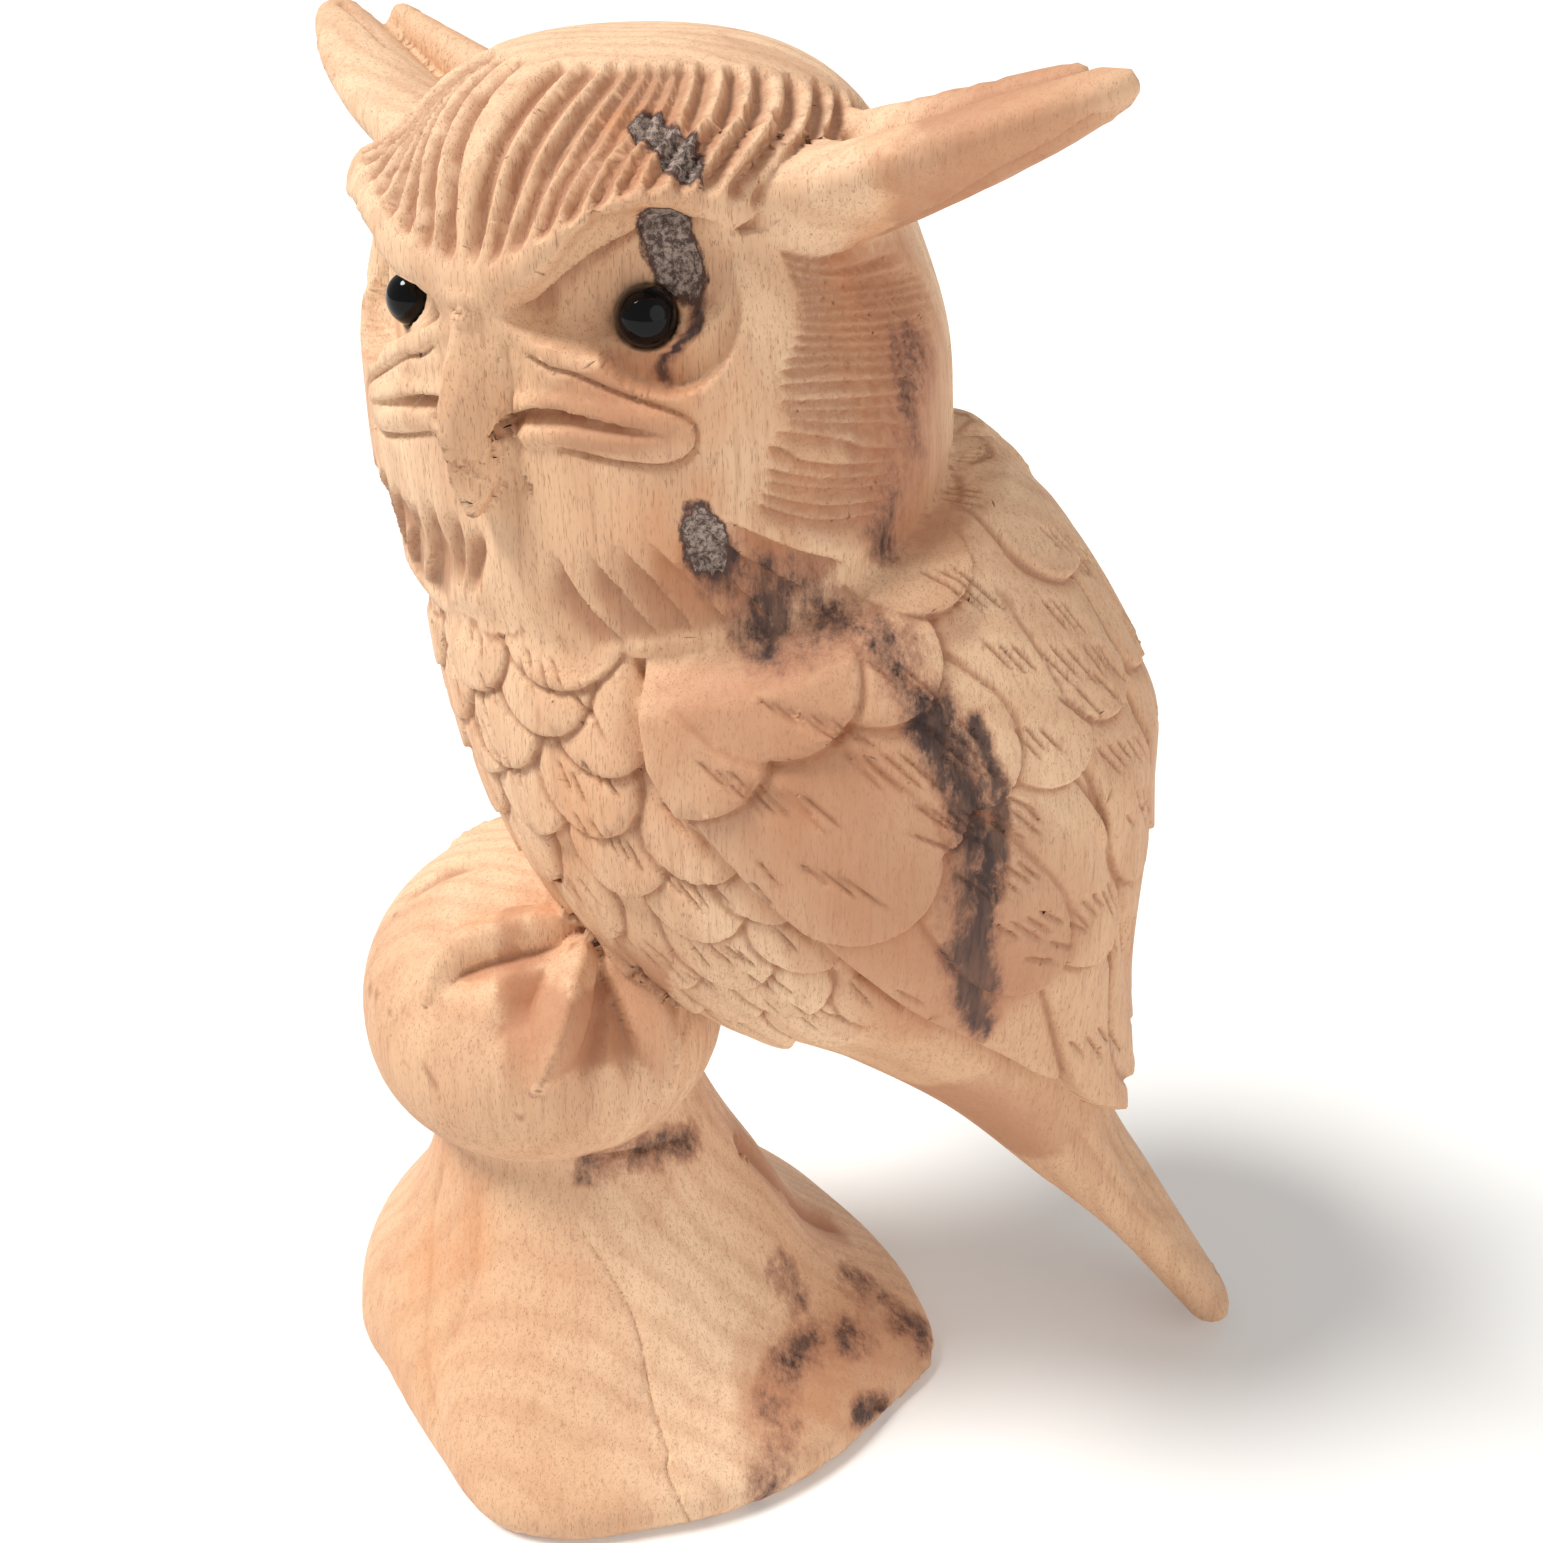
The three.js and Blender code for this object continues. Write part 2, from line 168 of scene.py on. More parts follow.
# %% [markdown]
# ## Head, perch and stump
# The head is a ball that is squarer than a sphere, flattened in front for the face and drawn in a
# little at the crown. It has its own frame, because the owl looks over its left shoulder. The perch
# is a plainer lump, and the stump is a round that flares down to a foot with a knife-cut outline.

# %% The head's form
HEAD_AT = np.array([0, 9, 228.0])
HEAD_TURN = math.radians(49)
HEAD = dict(wide=52, front=48, back=52, top=55.5, under=50, top_round=.72, under_round=.62)
FACE_DEPTH = 44
TURN = np.array([[math.cos(HEAD_TURN), -math.sin(HEAD_TURN), 0],
                 [math.sin(HEAD_TURN), math.cos(HEAD_TURN), 0],
                 [0, 0, 1]])


def into_head(P):
    return (P - HEAD_AT) @ TURN


def out_of_head(Q):
    return np.asarray(Q, float) @ TURN.T + HEAD_AT


def on_ball(t, angle, ball, lift=0.0):
    """A place on a rounded mass: t runs down from its top, and the angle is 0 in front."""
    t, turn = np.asarray(t, float), np.radians(angle)
    up = np.cos(t * math.pi)
    power = np.where(up > 0, ball["top_round"], ball["under_round"])
    around = np.sin(t * math.pi) ** power
    deep = np.where(np.cos(turn) > 0, ball["front"], ball["back"]) + lift
    high = np.sign(up) * np.abs(up) ** power * (np.where(up > 0, ball["top"], ball["under"]) + lift)
    return np.stack([(ball["wide"] + lift) * around * np.sin(turn), -deep * around * np.cos(turn), high], -1)


def ball_form(Q, wide, front, back, top, under, top_round, under_round):
    """Distance to such a mass."""
    up = np.abs(Q[:, 2]) / np.where(Q[:, 2] > 0, top, under) + 1e-9
    power = np.where(Q[:, 2] > 0, top_round, under_round)
    deep = np.where(Q[:, 1] < 0, front, back)
    around = np.hypot(Q[:, 0] / wide, Q[:, 1] / deep)
    q = (up ** (2 / power) + around ** (2 / power)) ** (power / 2)
    return (1 - 1 / q) * np.linalg.norm(Q, axis=1)


def head_ball(Q):
    up = np.sign(Q[:, 2]) * (np.abs(Q[:, 2]) / HEAD["top"]) ** 1.4
    crown = smooth(-0.1, 0.4, up)
    moved = Q + np.array([0, 3, 0]) * crown[:, None]
    far = ball_form(moved, **dict(HEAD, wide=HEAD["wide"] * (1 - 0.12 * crown)))
    return bite(far, -moved[:, 1] - FACE_DEPTH, 8)

# %% The perch and the stump
PERCH_AT = np.array([0, -18, 98.0])
PERCH = dict(wide=37, front=37, back=37, top=34, under=30, top_round=1, under_round=.85)
# up the stump: y, z and half width; round its foot: how far each 15 degrees reaches
STUMP = np.array([
    (-2.5, 0, 60.5), (-5.5, 9, 61.5), (-12.5, 26, 50), (-11.5, 44, 39.5), (-12.5, 60, 32), (-15, 80, 26)
])
FOOT_REACH = np.array([
    61, 55, 54, 57, 64, 63, 60, 60, 61, 63, 66, 74, 70, 65, 62, 63, 65, 66, 66, 67, 68, 69, 68, 65
])
FOOT_MEAN, STUMP_TOP = 64, 80


def flare(up, angle):
    """How much the foot's own outline widens the stump here."""
    reach = along(np.append(FOOT_REACH, FOOT_REACH[0]), (angle / 360) % 1) / FOOT_MEAN
    k = np.clip(up * 1.2, 0, 1)
    return reach * (1 - k) + k


def on_stump(up, angle, size):
    turn = np.radians(angle)
    y, z, _ = along(STUMP, np.asarray(up, float)).T
    return np.stack([size * np.sin(turn), y - size * np.cos(turn), z + 0 * turn], -1)


def stump_form(P):
    z = np.clip(P[:, 2], 0, STUMP_TOP)
    up = np.interp(z, along(STUMP[:, 1], STEPS), STEPS)
    off = P[:, :2] - np.stack([0 * z, along(STUMP[:, 0], up)], 1)
    angle = np.degrees(np.arctan2(off[:, 0], -off[:, 1]))
    far = 0.85 * (np.hypot(off[:, 0], off[:, 1]) - along(STUMP[:, 2], up) * flare(up, angle))
    return bite(bite(far, P[:, 2] - STUMP_TOP, 4), -P[:, 2], 1.5)


print("masses:", len(SPINE), "stations of the body, the head, the perch and a stump to", STUMP_TOP, "mm")

# %% [markdown]
# ## Rods for the brows, beak, ears and toes
# These are all tapering ridges with an oval section that follow a path. A rod is measured as a row of
# closely spaced flattened balls along its path, which is quick and has no seams.

# %% Rods
FAR_AWAY = 60.0  # what a rod says to a point that is out of its reach


def make_rod(path, wide, high, up, edge=2.0, blunt=0.12, count=44):
    t = np.linspace(0, 1, count)
    centre = along(np.array(path, float), t)
    ahead = unit(np.gradient(centre, axis=0))
    out = unit(np.asarray(up, float) - (ahead @ np.asarray(up, float))[:, None] * ahead)
    across = np.cross(out, ahead)
    arc = lambda x: np.sqrt(np.maximum(0.02, 1 - (1 - np.clip(x, 0, 1)) ** 2))
    ends = arc(t / blunt) * arc((1 - t) / blunt)
    size = np.stack([along(wide, t) * ends, along(high, t) * ends], 1)
    return dict(centre=centre, frame=np.stack([across, out, ahead], 1), size=size, edge=edge)


def rod_form(P, rod):
    far = np.full(len(P), FAR_AWAY)
    margin = rod["size"].max() + 8
    low, high = rod["centre"].min(0) - margin, rod["centre"].max(0) + margin
    near = np.flatnonzero(((P > low) & (P < high)).all(1))
    if len(near) == 0:
        return far
    for centre, axes, size in zip(rod["centre"], rod["frame"], rod["size"]):
        q = (P[near] - centre) @ axes.T
        length = np.linalg.norm(q, axis=1) + 1e-9
        e = rod["edge"]
        r = ((np.abs(q[:, 0]) / size[0]) ** e + (np.abs(q[:, 1]) / size[1]) ** e
             + (np.abs(q[:, 2]) / size.min()) ** e) ** (1 / e) + 1e-9
        far[near] = np.minimum(far[near], (1 - 1 / r) * length)
    return far

# %% [markdown]
# ## Where each ridge runs
# The brows sweep from the bridge of the beak over the eyes towards the ears. The beak has a keel down
# its middle, so its section is nearer a diamond than an oval. An ear is two lobes with a hollow between
# them. That hollow and the eye sockets are rods too, bitten out instead of added. The parts of the face
# share a slight tilt, because the real face isn't level. Three toes of each foot lie over the perch.

# %% The ridges of the head
TILT = math.radians(5)
TILTED = np.array([[math.cos(TILT), 0, -math.sin(TILT)], [0, 1, 0], [math.sin(TILT), 0, math.cos(TILT)]])
FACE_SHIFT = np.array([2.2, 0, 0])


def mirrored(points):
    return np.asarray(points, float) * [-1, 1, 1]


def on_face_frame(points):
    return np.asarray(points, float) @ TILTED.T + FACE_SHIFT


BROW = dict(wide=[4, 6, 7.5, 8, 7], high=[3.2, 5.2, 6, 4.6, 2.2], up=(.3, -1, .2), edge=1.7)
BROW_PATH = [(2.5, -42.5, 24), (14, -40.5, 29), (26, -34, 35.5), (35.5, -20, 36.5), (41, -5, 33)]
BEAK = dict(wide=[2.8, 4.6, 6, 4, .9], high=[2.8, 5.8, 7.8, 6, 1.6], up=(0, -1, 0), edge=1.2, blunt=.04)
BEAK_PATH = [(0, -42, 23), (0, -44.5, 13), (0, -45.5, 3), (-.4, -45.5, -6.5), (-.9, -46.5, -13)]
HORNS = [
    (dict(wide=[15, 13, 9.5, 4.5], high=[8, 6.6, 5.2, 3.2], up=(0, .3, .95), edge=1.8, blunt=.12),
     [(28, -9, 29.7), (50, -4, 38.2), (67, 2.5, 45.8), (80, 9.5, 52.3)]),
    (dict(wide=[4, 3.8, 2.8], high=[6, 4.4, 2.6], up=(0, .3, .95), edge=2.2, blunt=.08),
     [(30, 10, 37), (50, 11.5, 44.2), (70, 14.5, 51.5)]),
]
beak_rod = make_rod(BEAK_PATH, **BEAK)
brow_rods = [make_rod(on_face_frame(path), **BROW) for path in (BROW_PATH, mirrored(BROW_PATH))]
horn_rods = [make_rod(side(path), **kind) for side in (np.array, mirrored) for kind, path in HORNS]
EAR_HOLLOW = dict(wide=[1.2, 2.4, 2.2, 1], high=[3, 5, 4.5, 2], up=(0, .1, 1), edge=1.7)
HOLLOW_PATH = [(36, 3, 43), (48, 5.5, 47.5), (60, 8.5, 52), (70, 11.5, 56)]
hollow_rods = [make_rod(side(HOLLOW_PATH), **EAR_HOLLOW) for side in (np.array, mirrored)]

EYE = np.array([24.3, -33, 17.9])
BEAD = 4.6
SOCKET = dict(wide=[2.6, 4.5, 8, 11.2, 9.5], high=[6, 8, 10.5, 11.5, 9], up=(0, -1, 0), edge=2.3, blunt=.16)
SOCKET_PATH = [(7.5, -47, 19.8), (15.5, -46.5, 20), (23, -44.5, 21.5), (30, -41, 23.6), (38.5, -34, 23.5)]
socket_rods = [make_rod(on_face_frame(path), **SOCKET) for path in (SOCKET_PATH, mirrored(SOCKET_PATH))]


def head_form(Q):
    far = head_ball(Q)
    for rod in brow_rods:
        far = melt(far, rod_form(Q, rod), 5)
    for rod in socket_rods:
        far = bite(far, -rod_form(Q, rod), 0.9)
    far = melt(far, rod_form(Q, beak_rod), 0.7)
    ears = np.full(len(Q), FAR_AWAY)
    for lobes, hollow in ((horn_rods[:2], hollow_rods[0]), (horn_rods[2:], hollow_rods[1])):
        ear = melt(rod_form(Q, lobes[0]), rod_form(Q, lobes[1]), 1.2)
        ears = np.minimum(ears, bite(ear, -rod_form(Q, hollow), 0.8))
    return melt(far, ears, 2.5), ears

# %% The toes over the perch
POINTED = dict(wide=[3.4, 4.6, 5.3, 4.4, .9], high=[3.6, 5.3, 6.2, 5, 1])
TOES = [
    (dict(wide=[3.6, 4.1, 4.2, 3.9, 3.3, 2], high=[3.2, 3.9, 4, 3.8, 3, 1.1]),
     [(.188, 112), (.174, 92.7), (.195, 70), (.226, 56.4), (.269, 50), (.36, 48.8)]),
    (POINTED, [(.22, 112), (.277, 103), (.33, 98), (.405, 93), (.49, 86)]),
    (POINTED, [(.25, 122), (.318, 126), (.39, 127.5), (.47, 127.5), (.57, 125)]),
]


def on_perch(t, angle, lift=0.0):
    return PERCH_AT + on_ball(t, angle, PERCH, lift)


def toe_rods():
    for kind, path in TOES:
        for side, lift in ((1, 0.5), (-1, -1.5)):
            t, angle = np.array(path).T
            places = on_perch(t, angle * side, lift)
            yield make_rod(places, **kind, up=unit(places[2] - PERCH_AT), edge=1.2)


toes = list(toe_rods())


def whole_form(P):
    """Distance to the carved block, to each mass by itself, and the places on the body."""
    body, t, angle = body_form(P)
    head, ears = head_form(into_head(P))
    perch, stump = ball_form(P - PERCH_AT, **PERCH), stump_form(P)
    near_toes = np.min([rod_form(P, rod) for rod in toes], 0)
    far = melt(melt(perch, stump, 2), near_toes, 0.5)
    far = melt(melt(far, body, 2.5), head, 1.5)
    return far, dict(body=body, head=head, perch=perch, stump=stump, ears=ears, toes=near_toes), (t, angle)


print("rods:", 1 + len(brow_rods + horn_rods + hollow_rods + socket_rods), "on the head,", len(toes), "toes")
CORNERS = np.array([(1, 1, 1), (1, -1, -1), (-1, 1, -1), (-1, -1, 1)], float)


def outward(P, step=0.12):
    return unit(sum(corner * whole_form(P + step * corner)[0][:, None] for corner in CORNERS))

# %% [markdown]
# ## Rough out the block
# Plain balls and one cylinder are moved into the main masses, overlapping as the wood does, and a
# voxel remesh makes one skin of them, as a carver's first pass with the bandsaw does. Each point is
# then drawn onto the exact form, so the joins between head, body, perch and stump become soft hollows.

# %% Balls and a cylinder, made one skin
VOXEL = 2.8


def placed(name, data):
    ob = bpy.data.objects.new(name, data)
    bpy.context.collection.objects.link(ob)
    return ob


def co_array(verts):
    return np.array([v.co for v in verts])


def move(verts, places):
    for v, place in zip(verts, places):
        v.co = place


def mesh_from(bm, name):
    mesh = bpy.data.meshes.new(name)
    bm.to_mesh(mesh)
    bm.free()
    return mesh


def rough_stump():
    bm = bmesh.new()
    bmesh.ops.create_cone(bm, cap_ends=True, segments=48, radius1=1, radius2=1, depth=1)
    upright = [e for e in bm.edges if abs(e.verts[0].co.z - e.verts[1].co.z) > 0.5]
    bmesh.ops.subdivide_edges(bm, edges=upright, cuts=12)
    x, y, z = co_array(bm.verts).T
    up, angle = z + 0.5, np.degrees(np.arctan2(x, -y))
    move(bm.verts, on_stump(up, angle, along(STUMP[:, 2], up) * (np.hypot(x, y) * flare(up, angle))))
    return mesh_from(bm, "rough_stump")


def on_rod(rod, v):
    t = np.arccos(np.clip(v[:, 2], -1, 1)) / math.pi
    size, frame = along(rod["size"], t), along(rod["frame"].reshape(-1, 9), t)
    turn = np.arctan2(v[:, 0], v[:, 1])
    return (along(rod["centre"], t) + frame[:, :3] * (size[:, 0] * np.sin(turn))[:, None]
            + frame[:, 3:6] * (size[:, 1] * np.cos(turn))[:, None])


def rough_block():
    bm = bmesh.new()
    bm.from_mesh(rough_stump())

    def ball(place, around=48, rings=32):
        made = bmesh.ops.create_uvsphere(bm, u_segments=around, v_segments=rings, radius=1)["verts"]
        move(made, place(co_array(made)))

    def body_place(v):
        turn = np.degrees(np.arctan2(v[:, 0], -v[:, 1]))
        t = np.arccos(np.clip(v[:, 2], -1, 1)) / math.pi
        middle = np.stack([TAIL_LEAN * 2 * np.maximum(0, t - 0.5), *spine_at(t)[0].T[:2]], 1)
        return middle + (on_body(t, turn) - middle) * np.minimum(1, np.hypot(v[:, 0], v[:, 1]) * 2.2)[:, None]

    ball(body_place, 64, 60)
    ball(lambda v: out_of_head(v * [50, 46, 52] + [0, -1, 0]))
    ball(lambda v: v * [36, 36, 32] + PERCH_AT)
    for rods, out in ((toes, np.array), ([beak_rod, *brow_rods, *horn_rods], out_of_head)):
        for rod in rods:
            ball(lambda v: out(on_rod(rod, v)), 16, 20)
    return mesh_from(bm, "rough_block")


def remeshed(mesh, size):
    ob = placed("rough_block", mesh)
    joiner = ob.modifiers.new("one skin", "REMESH")
    joiner.mode = "VOXEL"
    joiner.voxel_size = size
    skin = bpy.data.meshes.new_from_object(ob.evaluated_get(bpy.context.evaluated_depsgraph_get()))
    bpy.data.objects.remove(ob)
    return skin


def drawn_onto_form(P, rounds=5, stride=3):
    for turn in range(rounds):
        if turn % 2 == 0:
            way = outward(P)
        P = P - np.clip(whole_form(P)[0], -stride, stride)[:, None] * way
    return P


skin = remeshed(rough_block(), VOXEL)
move(skin.vertices, drawn_onto_form(co_array(skin.vertices), 4))
skin = remeshed(skin, VOXEL)
print("roughed out:", len(skin.vertices), "points")

# %% [markdown]
# ## Gouges, veiners and chisels
# Every cut is one stroke of a tool along a path. A gouge leaves a round hollow, a veiner a narrow V,
# and a skew cut a wall on one side and a slope on the other. A stroke is named by where it runs on a
# mass (a chart) and is then pressed against the wood from outside, so it always lies on the surface.

# %% Charts and strokes
def face_plate(x, z, y):
    return out_of_head(np.stack([x, 0 * x + y, z], -1))


OVER, UNDER = 14, -8  # millimetres from the plain form
CHARTS = {  # each gives points outside the wood and points inside it
    "body": lambda t, a: (on_body(t, a, OVER), on_body(t, a, UNDER)),
    "head": lambda t, a: (out_of_head(on_ball(t, a, HEAD) * 1.12), out_of_head(on_ball(t, a, HEAD) * 0.6)),
    "face": lambda x, z: (face_plate(x, z, -62), face_plate(x, z, -20)),
    "perch": lambda t, a: (on_perch(t, a, OVER), on_perch(t, a, UNDER)),
    "stump": lambda up, a: (on_stump(up, a, 90), on_stump(up, a, 10)),
}
MASS = dict(body="body", head="head", face="head", perch="perch", stump="stump")


def stroke(chart, path, depth, left, right=None, grow=0.25, fade=0.35, shape=2.0, count=12):
    """A cut of this depth, so wide to its left and right, that starts and ends within grow and fade."""
    path = along(np.array(path, float), np.linspace(0, 1, count))
    return dict(chart=chart, flat=path, depth=depth, left=left, right=right or left, grow=grow, fade=fade,
                shape=shape)


def pressed(strokes, rounds=40):
    """Lay every stroke on the wood, all at once."""
    outer, inner = (np.concatenate(x) for x in zip(*[CHARTS[s["chart"]](*s["flat"].T) for s in strokes]))
    way = unit(inner - outer)
    P = outer.copy()
    for _ in range(rounds):
        P = P + way * np.clip(whole_form(P)[0], -1, 20)[:, None] * 0.85
    N = outward(P)
    k = 0
    for s in strokes:
        n = len(s["flat"])
        s["path"], s["normal"] = P[k:k + n], N[k:k + n]
        margin = max(s["left"], s["right"]) + 0.2
        s["low"], s["high"] = s["path"].min(0) - margin, s["path"].max(0) + margin
        k += n
    return strokes


def cut_depth(P, strokes, weights=None):
    """The deepest cut at each point, in millimetres."""
    deep, order = np.zeros(len(P)), np.argsort(P[:, 2])
    level = P[order, 2]
    for s in strokes:
        near = order[slice(*np.searchsorted(level, (s["low"][2], s["high"][2])))]
        near = near[((P[near, :2] > s["low"][:2]) & (P[near, :2] < s["high"][:2])).all(1)]
        if len(near) == 0:
            continue
        A, N = s["path"][:-1], s["normal"][:-1]
        AB = s["path"][1:] - A
        off = P[near, None] - A
        f = np.clip((off * AB).sum(2) / ((AB ** 2).sum(1) + 1e-9), 0, 1)
        gap = off - f[..., None] * AB
        gap -= (gap * N).sum(2)[..., None] * N
        d = np.linalg.norm(gap, axis=2)
        k = d.argmin(1)
        row = np.arange(len(near))
        at = (k + f[row, k]) / len(A)
        side = (np.cross(AB[k], gap[row, k]) * N[k]).sum(1)
        taper = smooth(0, s["grow"], at) * smooth(1, 1 - s["fade"], at)
        width = np.where(side > 0, s["left"], s["right"]) * (0.3 + 0.7 * taper)
        cut = s["depth"] * taper * np.clip(1 - (d[row, k] / width) ** s["shape"], 0, 1)
        if weights is not None:
            cut = cut * weights[s.get("on", MASS[s["chart"]])][near]
        deep[near] = np.maximum(deep[near], cut)
    return deep


def across_face(path):
    """The same places on the other side of the slightly tilted face."""
    level = (path - FACE_SHIFT[[0, 2]]) @ TILTED[::2, ::2]
    return level * [-1, 1] @ TILTED[::2, ::2].T + FACE_SHIFT[[0, 2]]


def both_sides(chart, path, depth, left, right=None, *ends):
    path, right = np.array(path, float), right or left
    other = across_face(path) if chart == "face" else path * [1, -1]
    return [stroke(chart, path, depth, left, right, *ends), stroke(chart, other, depth, right, left, *ends)]

# %% [markdown]
# ## Feathers painted from the tail up
# On a real owl the upper feathers lie over the lower ones, so they are painted in that order: the
# lowest row first, each later tongue covering what is under it. A tongue rises from nothing at its
# root to a proud rounded tip, and drops from there in a crisp wall to the feather below.

# %% Feather rows
AROUND = np.pi / 180 * (STATIONS[:, 2] + 0.5 * (STATIONS[:, 3] + STATIONS[:, 4])) / 2


def run_along(angle):
    """Millimetres from the top of the body, down one line on it."""
    steps = np.diff(on_body(STEPS, angle + 0 * STEPS), axis=0)
    return np.concatenate([[0], np.cumsum(np.linalg.norm(steps, axis=1))])


RUN, RUN_FRONT = run_along(128), run_along(30)

BREAST_ROWS = [  # how far down the tips are, and where round the breast
    (.49, [10, 28, 46, 66, 84]), (.44, [0, 18, 35, 52, 68]), (.40, [9, 26, 45, 62, 79]),
    (.345, [0, 18, 36, 64, 79]), (.295, [9, 27, 54, 71]), (.245, [0, 18, 38, 54.5]), (.2, [9, 27, 62.5]),
    (.19, [37]), (.165, [0, 18, 52]), (.134, [9, 33.5, 59.5]), (.095, [0, 14, 28, 44.5]),
]
WING_ROWS = [  # t, angle, wide, long, heading, and how pointed
    (.73, 128, 15, 84, 6, 1.3), (.72, 147, 15, 84, 2, 1.2), (.70, 168, 16, 84, 0, 1.2),
    (.56, 128, 18, 66, 6, 1.1), (.53, 113, 19, 60, 10, 1.1), (.54, 146, 18, 62, 3, 1.1),
    (.55, 166, 20, 62, 0, 1.1), (.358, 133, 21, 40, 8, .8), (.326, 119, 19, 32, 14, .7),
    (.335, 108, 21, 34, 18, .7), (.375, 97, 28, 46, 18, .6), (.354, 149, 20, 38, 4, .7),
    (.37, 168, 21, 40, 0, .7), (.235, 114, 21, 28, 14, .6), (.236, 82, 26, 30, 18, .55),
    (.218, 101, 25, 32, 26, .55), (.25, 158, 21, 32, 3, .6), (.19, 129, 21, 26, 6, .6),
    (.145, 169, 20, 24, 0, .6), (.138, 148, 20, 24, 2, .6),
]
WING_EDGE = np.array([
    (.05, 88), (.12, 76), (.16, 71.5), (.195, 69.6), (.23, 71), (.27, 74), (.316, 78), (.366, 82),
    (.424, 85.5), (.49, 88.5), (.558, 93), (.62, 98), (.69, 110), (.74, 130), (1, 150)
])
BIG_SCALE = (0.134, 59.5)  # the one breast feather that the carver made larger
WING_PROUD, FEATHER_PROUD, SCALE_PROUD, UNDERCUT = 4.5, 2.5, 2.3, 0.7
print(sum(len(tips) for _, tips in BREAST_ROWS), "breast and", len(WING_ROWS), "wing feathers a side")


def feather_frame(t, angle, run, tip_t, tip_angle, heading):
    """Distance back from the tip and sideways from the middle, in millimetres."""
    u = (angle - tip_angle) * np.interp(t, STEPS, AROUND)
    v = np.interp(t, STEPS, run) - np.interp(tip_t, STEPS, run)
    c, s = math.cos(math.radians(heading)), math.sin(math.radians(heading))
    return -(v * c + u * s), u * c - v * s


def lay_feather(high, back, side, wide, long, point, base, proud, deep, wall=0.45):
    tip = point * wide
    half = wide / 2 * (1 - 0.25 * np.clip((back - tip) / (long - tip), 0, 1))
    q = np.hypot(side / half, np.minimum(back - tip, 0) / tip) + 1e-6
    steep = np.hypot(side / half ** 2, (back - tip) / tip ** 2) + 1e-6
    gap = np.where(back < tip, (q - 1) * q / steep, np.abs(side) - half)
    reach = smooth(long, long * 0.7, back)
    cover = smooth(wall, -wall, gap) * reach
    top = base + proud * np.clip(1 - back / long, 0, 1) ** 0.7 - 0.7 * (side / half) ** 2
    undercut = deep * smooth(1.9, 0.3, gap) * reach
    return (high - undercut) * (1 - cover) + top * cover


def body_relief(t, angle, deep=UNDERCUT):
    a = np.abs(angle)
    high = np.zeros(len(t))
    for tip_t, tips in BREAST_ROWS:
        for tip in tips:
            for copy in {tip, -tip}:
                big = 1.25 if (tip_t, tip) == BIG_SCALE else 1.0
                wide, long = 19 * big, 25 * big
                back, side = feather_frame(t, angle, RUN_FRONT, tip_t, copy, 0)
                near = np.flatnonzero((back > -4) & (back < 26 * big) & (np.abs(side) < 14 * big))
                high[near] = lay_feather(high[near], back[near], side[near], wide, long, 0.55, 0, SCALE_PROUD,
                                         deep)
    # the wing is a plate with a quarter-round front edge, and it ends where the tail begins
    off = (a - np.interp(t, *WING_EDGE.T)) * np.interp(t, STEPS, AROUND)
    shoulder = smooth(0.02, 0.06, t)
    ends = smooth(0.66, 0.64, t)
    plate = np.sqrt(np.clip(1 - (1 - np.clip((off + 0.3) / 1.3, 0, 1)) ** 2, 0, 1))
    wing = WING_PROUD * ends
    for tip_t, tip, wide, long, heading, point in WING_ROWS:
        back, side = feather_frame(t, a, RUN, tip_t, tip, heading)
        near = np.flatnonzero((back > -4) & (back < long) & (np.abs(side) < wide / 2 + 3))
        wing[near] = lay_feather(wing[near], back[near], side[near], wide, long, point, WING_PROUD,
                                 FEATHER_PROUD, deep)
    wing *= plate * shoulder
    high -= 1.3 * smooth(-4.5, -0.5, off) * ends * shoulder
    return np.where(off > -0.3, np.maximum(wing, np.where(off > 2, -0.5, high)), high)

# %% [markdown]
# ## The cuts of the head
# Long U flutes fan over the forehead from the brow to a line across the crown, and fade where an ear
# begins. Down each cheek runs a comb of leaf cuts, each with one steep wall, below them are wider leaf
# scoops, and plainer cuts go on round the back. The mouth is a slit in a raised lip beside the beak,
# and one more slit sharpens the brow's edge. Bark that the carver left in is sunk a little and rough.

# %% The strokes on the head
FLUTE_ENDS = np.array([
    (-2, -1, .395, .125), (8, 20, .39, .118), (14, 31, .375, .112), (33, 53, .325, .105),
    (45, 82, .318, .118), (53, 104, .322, .148), (65, 125, .33, .2), (78, 140, .335, .235)
])
COMB = [
    [(.35, 60.5), (.365, 74.6), (.355, 99)], [(.372, 61.4), (.387, 76.2), (.4, 106)],
    [(.396, 62.3), (.396, 80), (.416, 112)], [(.41, 61.9), (.413, 82.2), (.435, 115)],
    [(.422, 61.1), (.435, 82), (.453, 110)], [(.44, 59.3), (.448, 76.4), (.47, 107)],
    [(.458, 56.8), (.461, 72.5), (.481, 102)], [(.477, 56), (.482, 71.2), (.494, 99)],
    [(.487, 57.7), (.495, 72.8), (.503, 96)], [(.497, 54.2), (.503, 67), (.512, 93)],
    [(.504, 53), (.514, 69.3), (.523, 89)], [(.51, 50.5), (.532, 66.6), (.54, 85)],
]
SCOOPS = [
    [(.518, 46.5), (.55, 60), (.578, 74)], [(.525, 43.3), (.56, 53), (.604, 66)],
    [(.528, 38), (.568, 47), (.634, 58)], [(.53, 33), (.578, 41.5), (.645, 50.5)],
    [(.538, 28), (.588, 36), (.65, 43)], [(.55, 21.9), (.6, 29), (.66, 36)],
    [(.562, 15.3), (.615, 20.3), (.672, 29)],
]
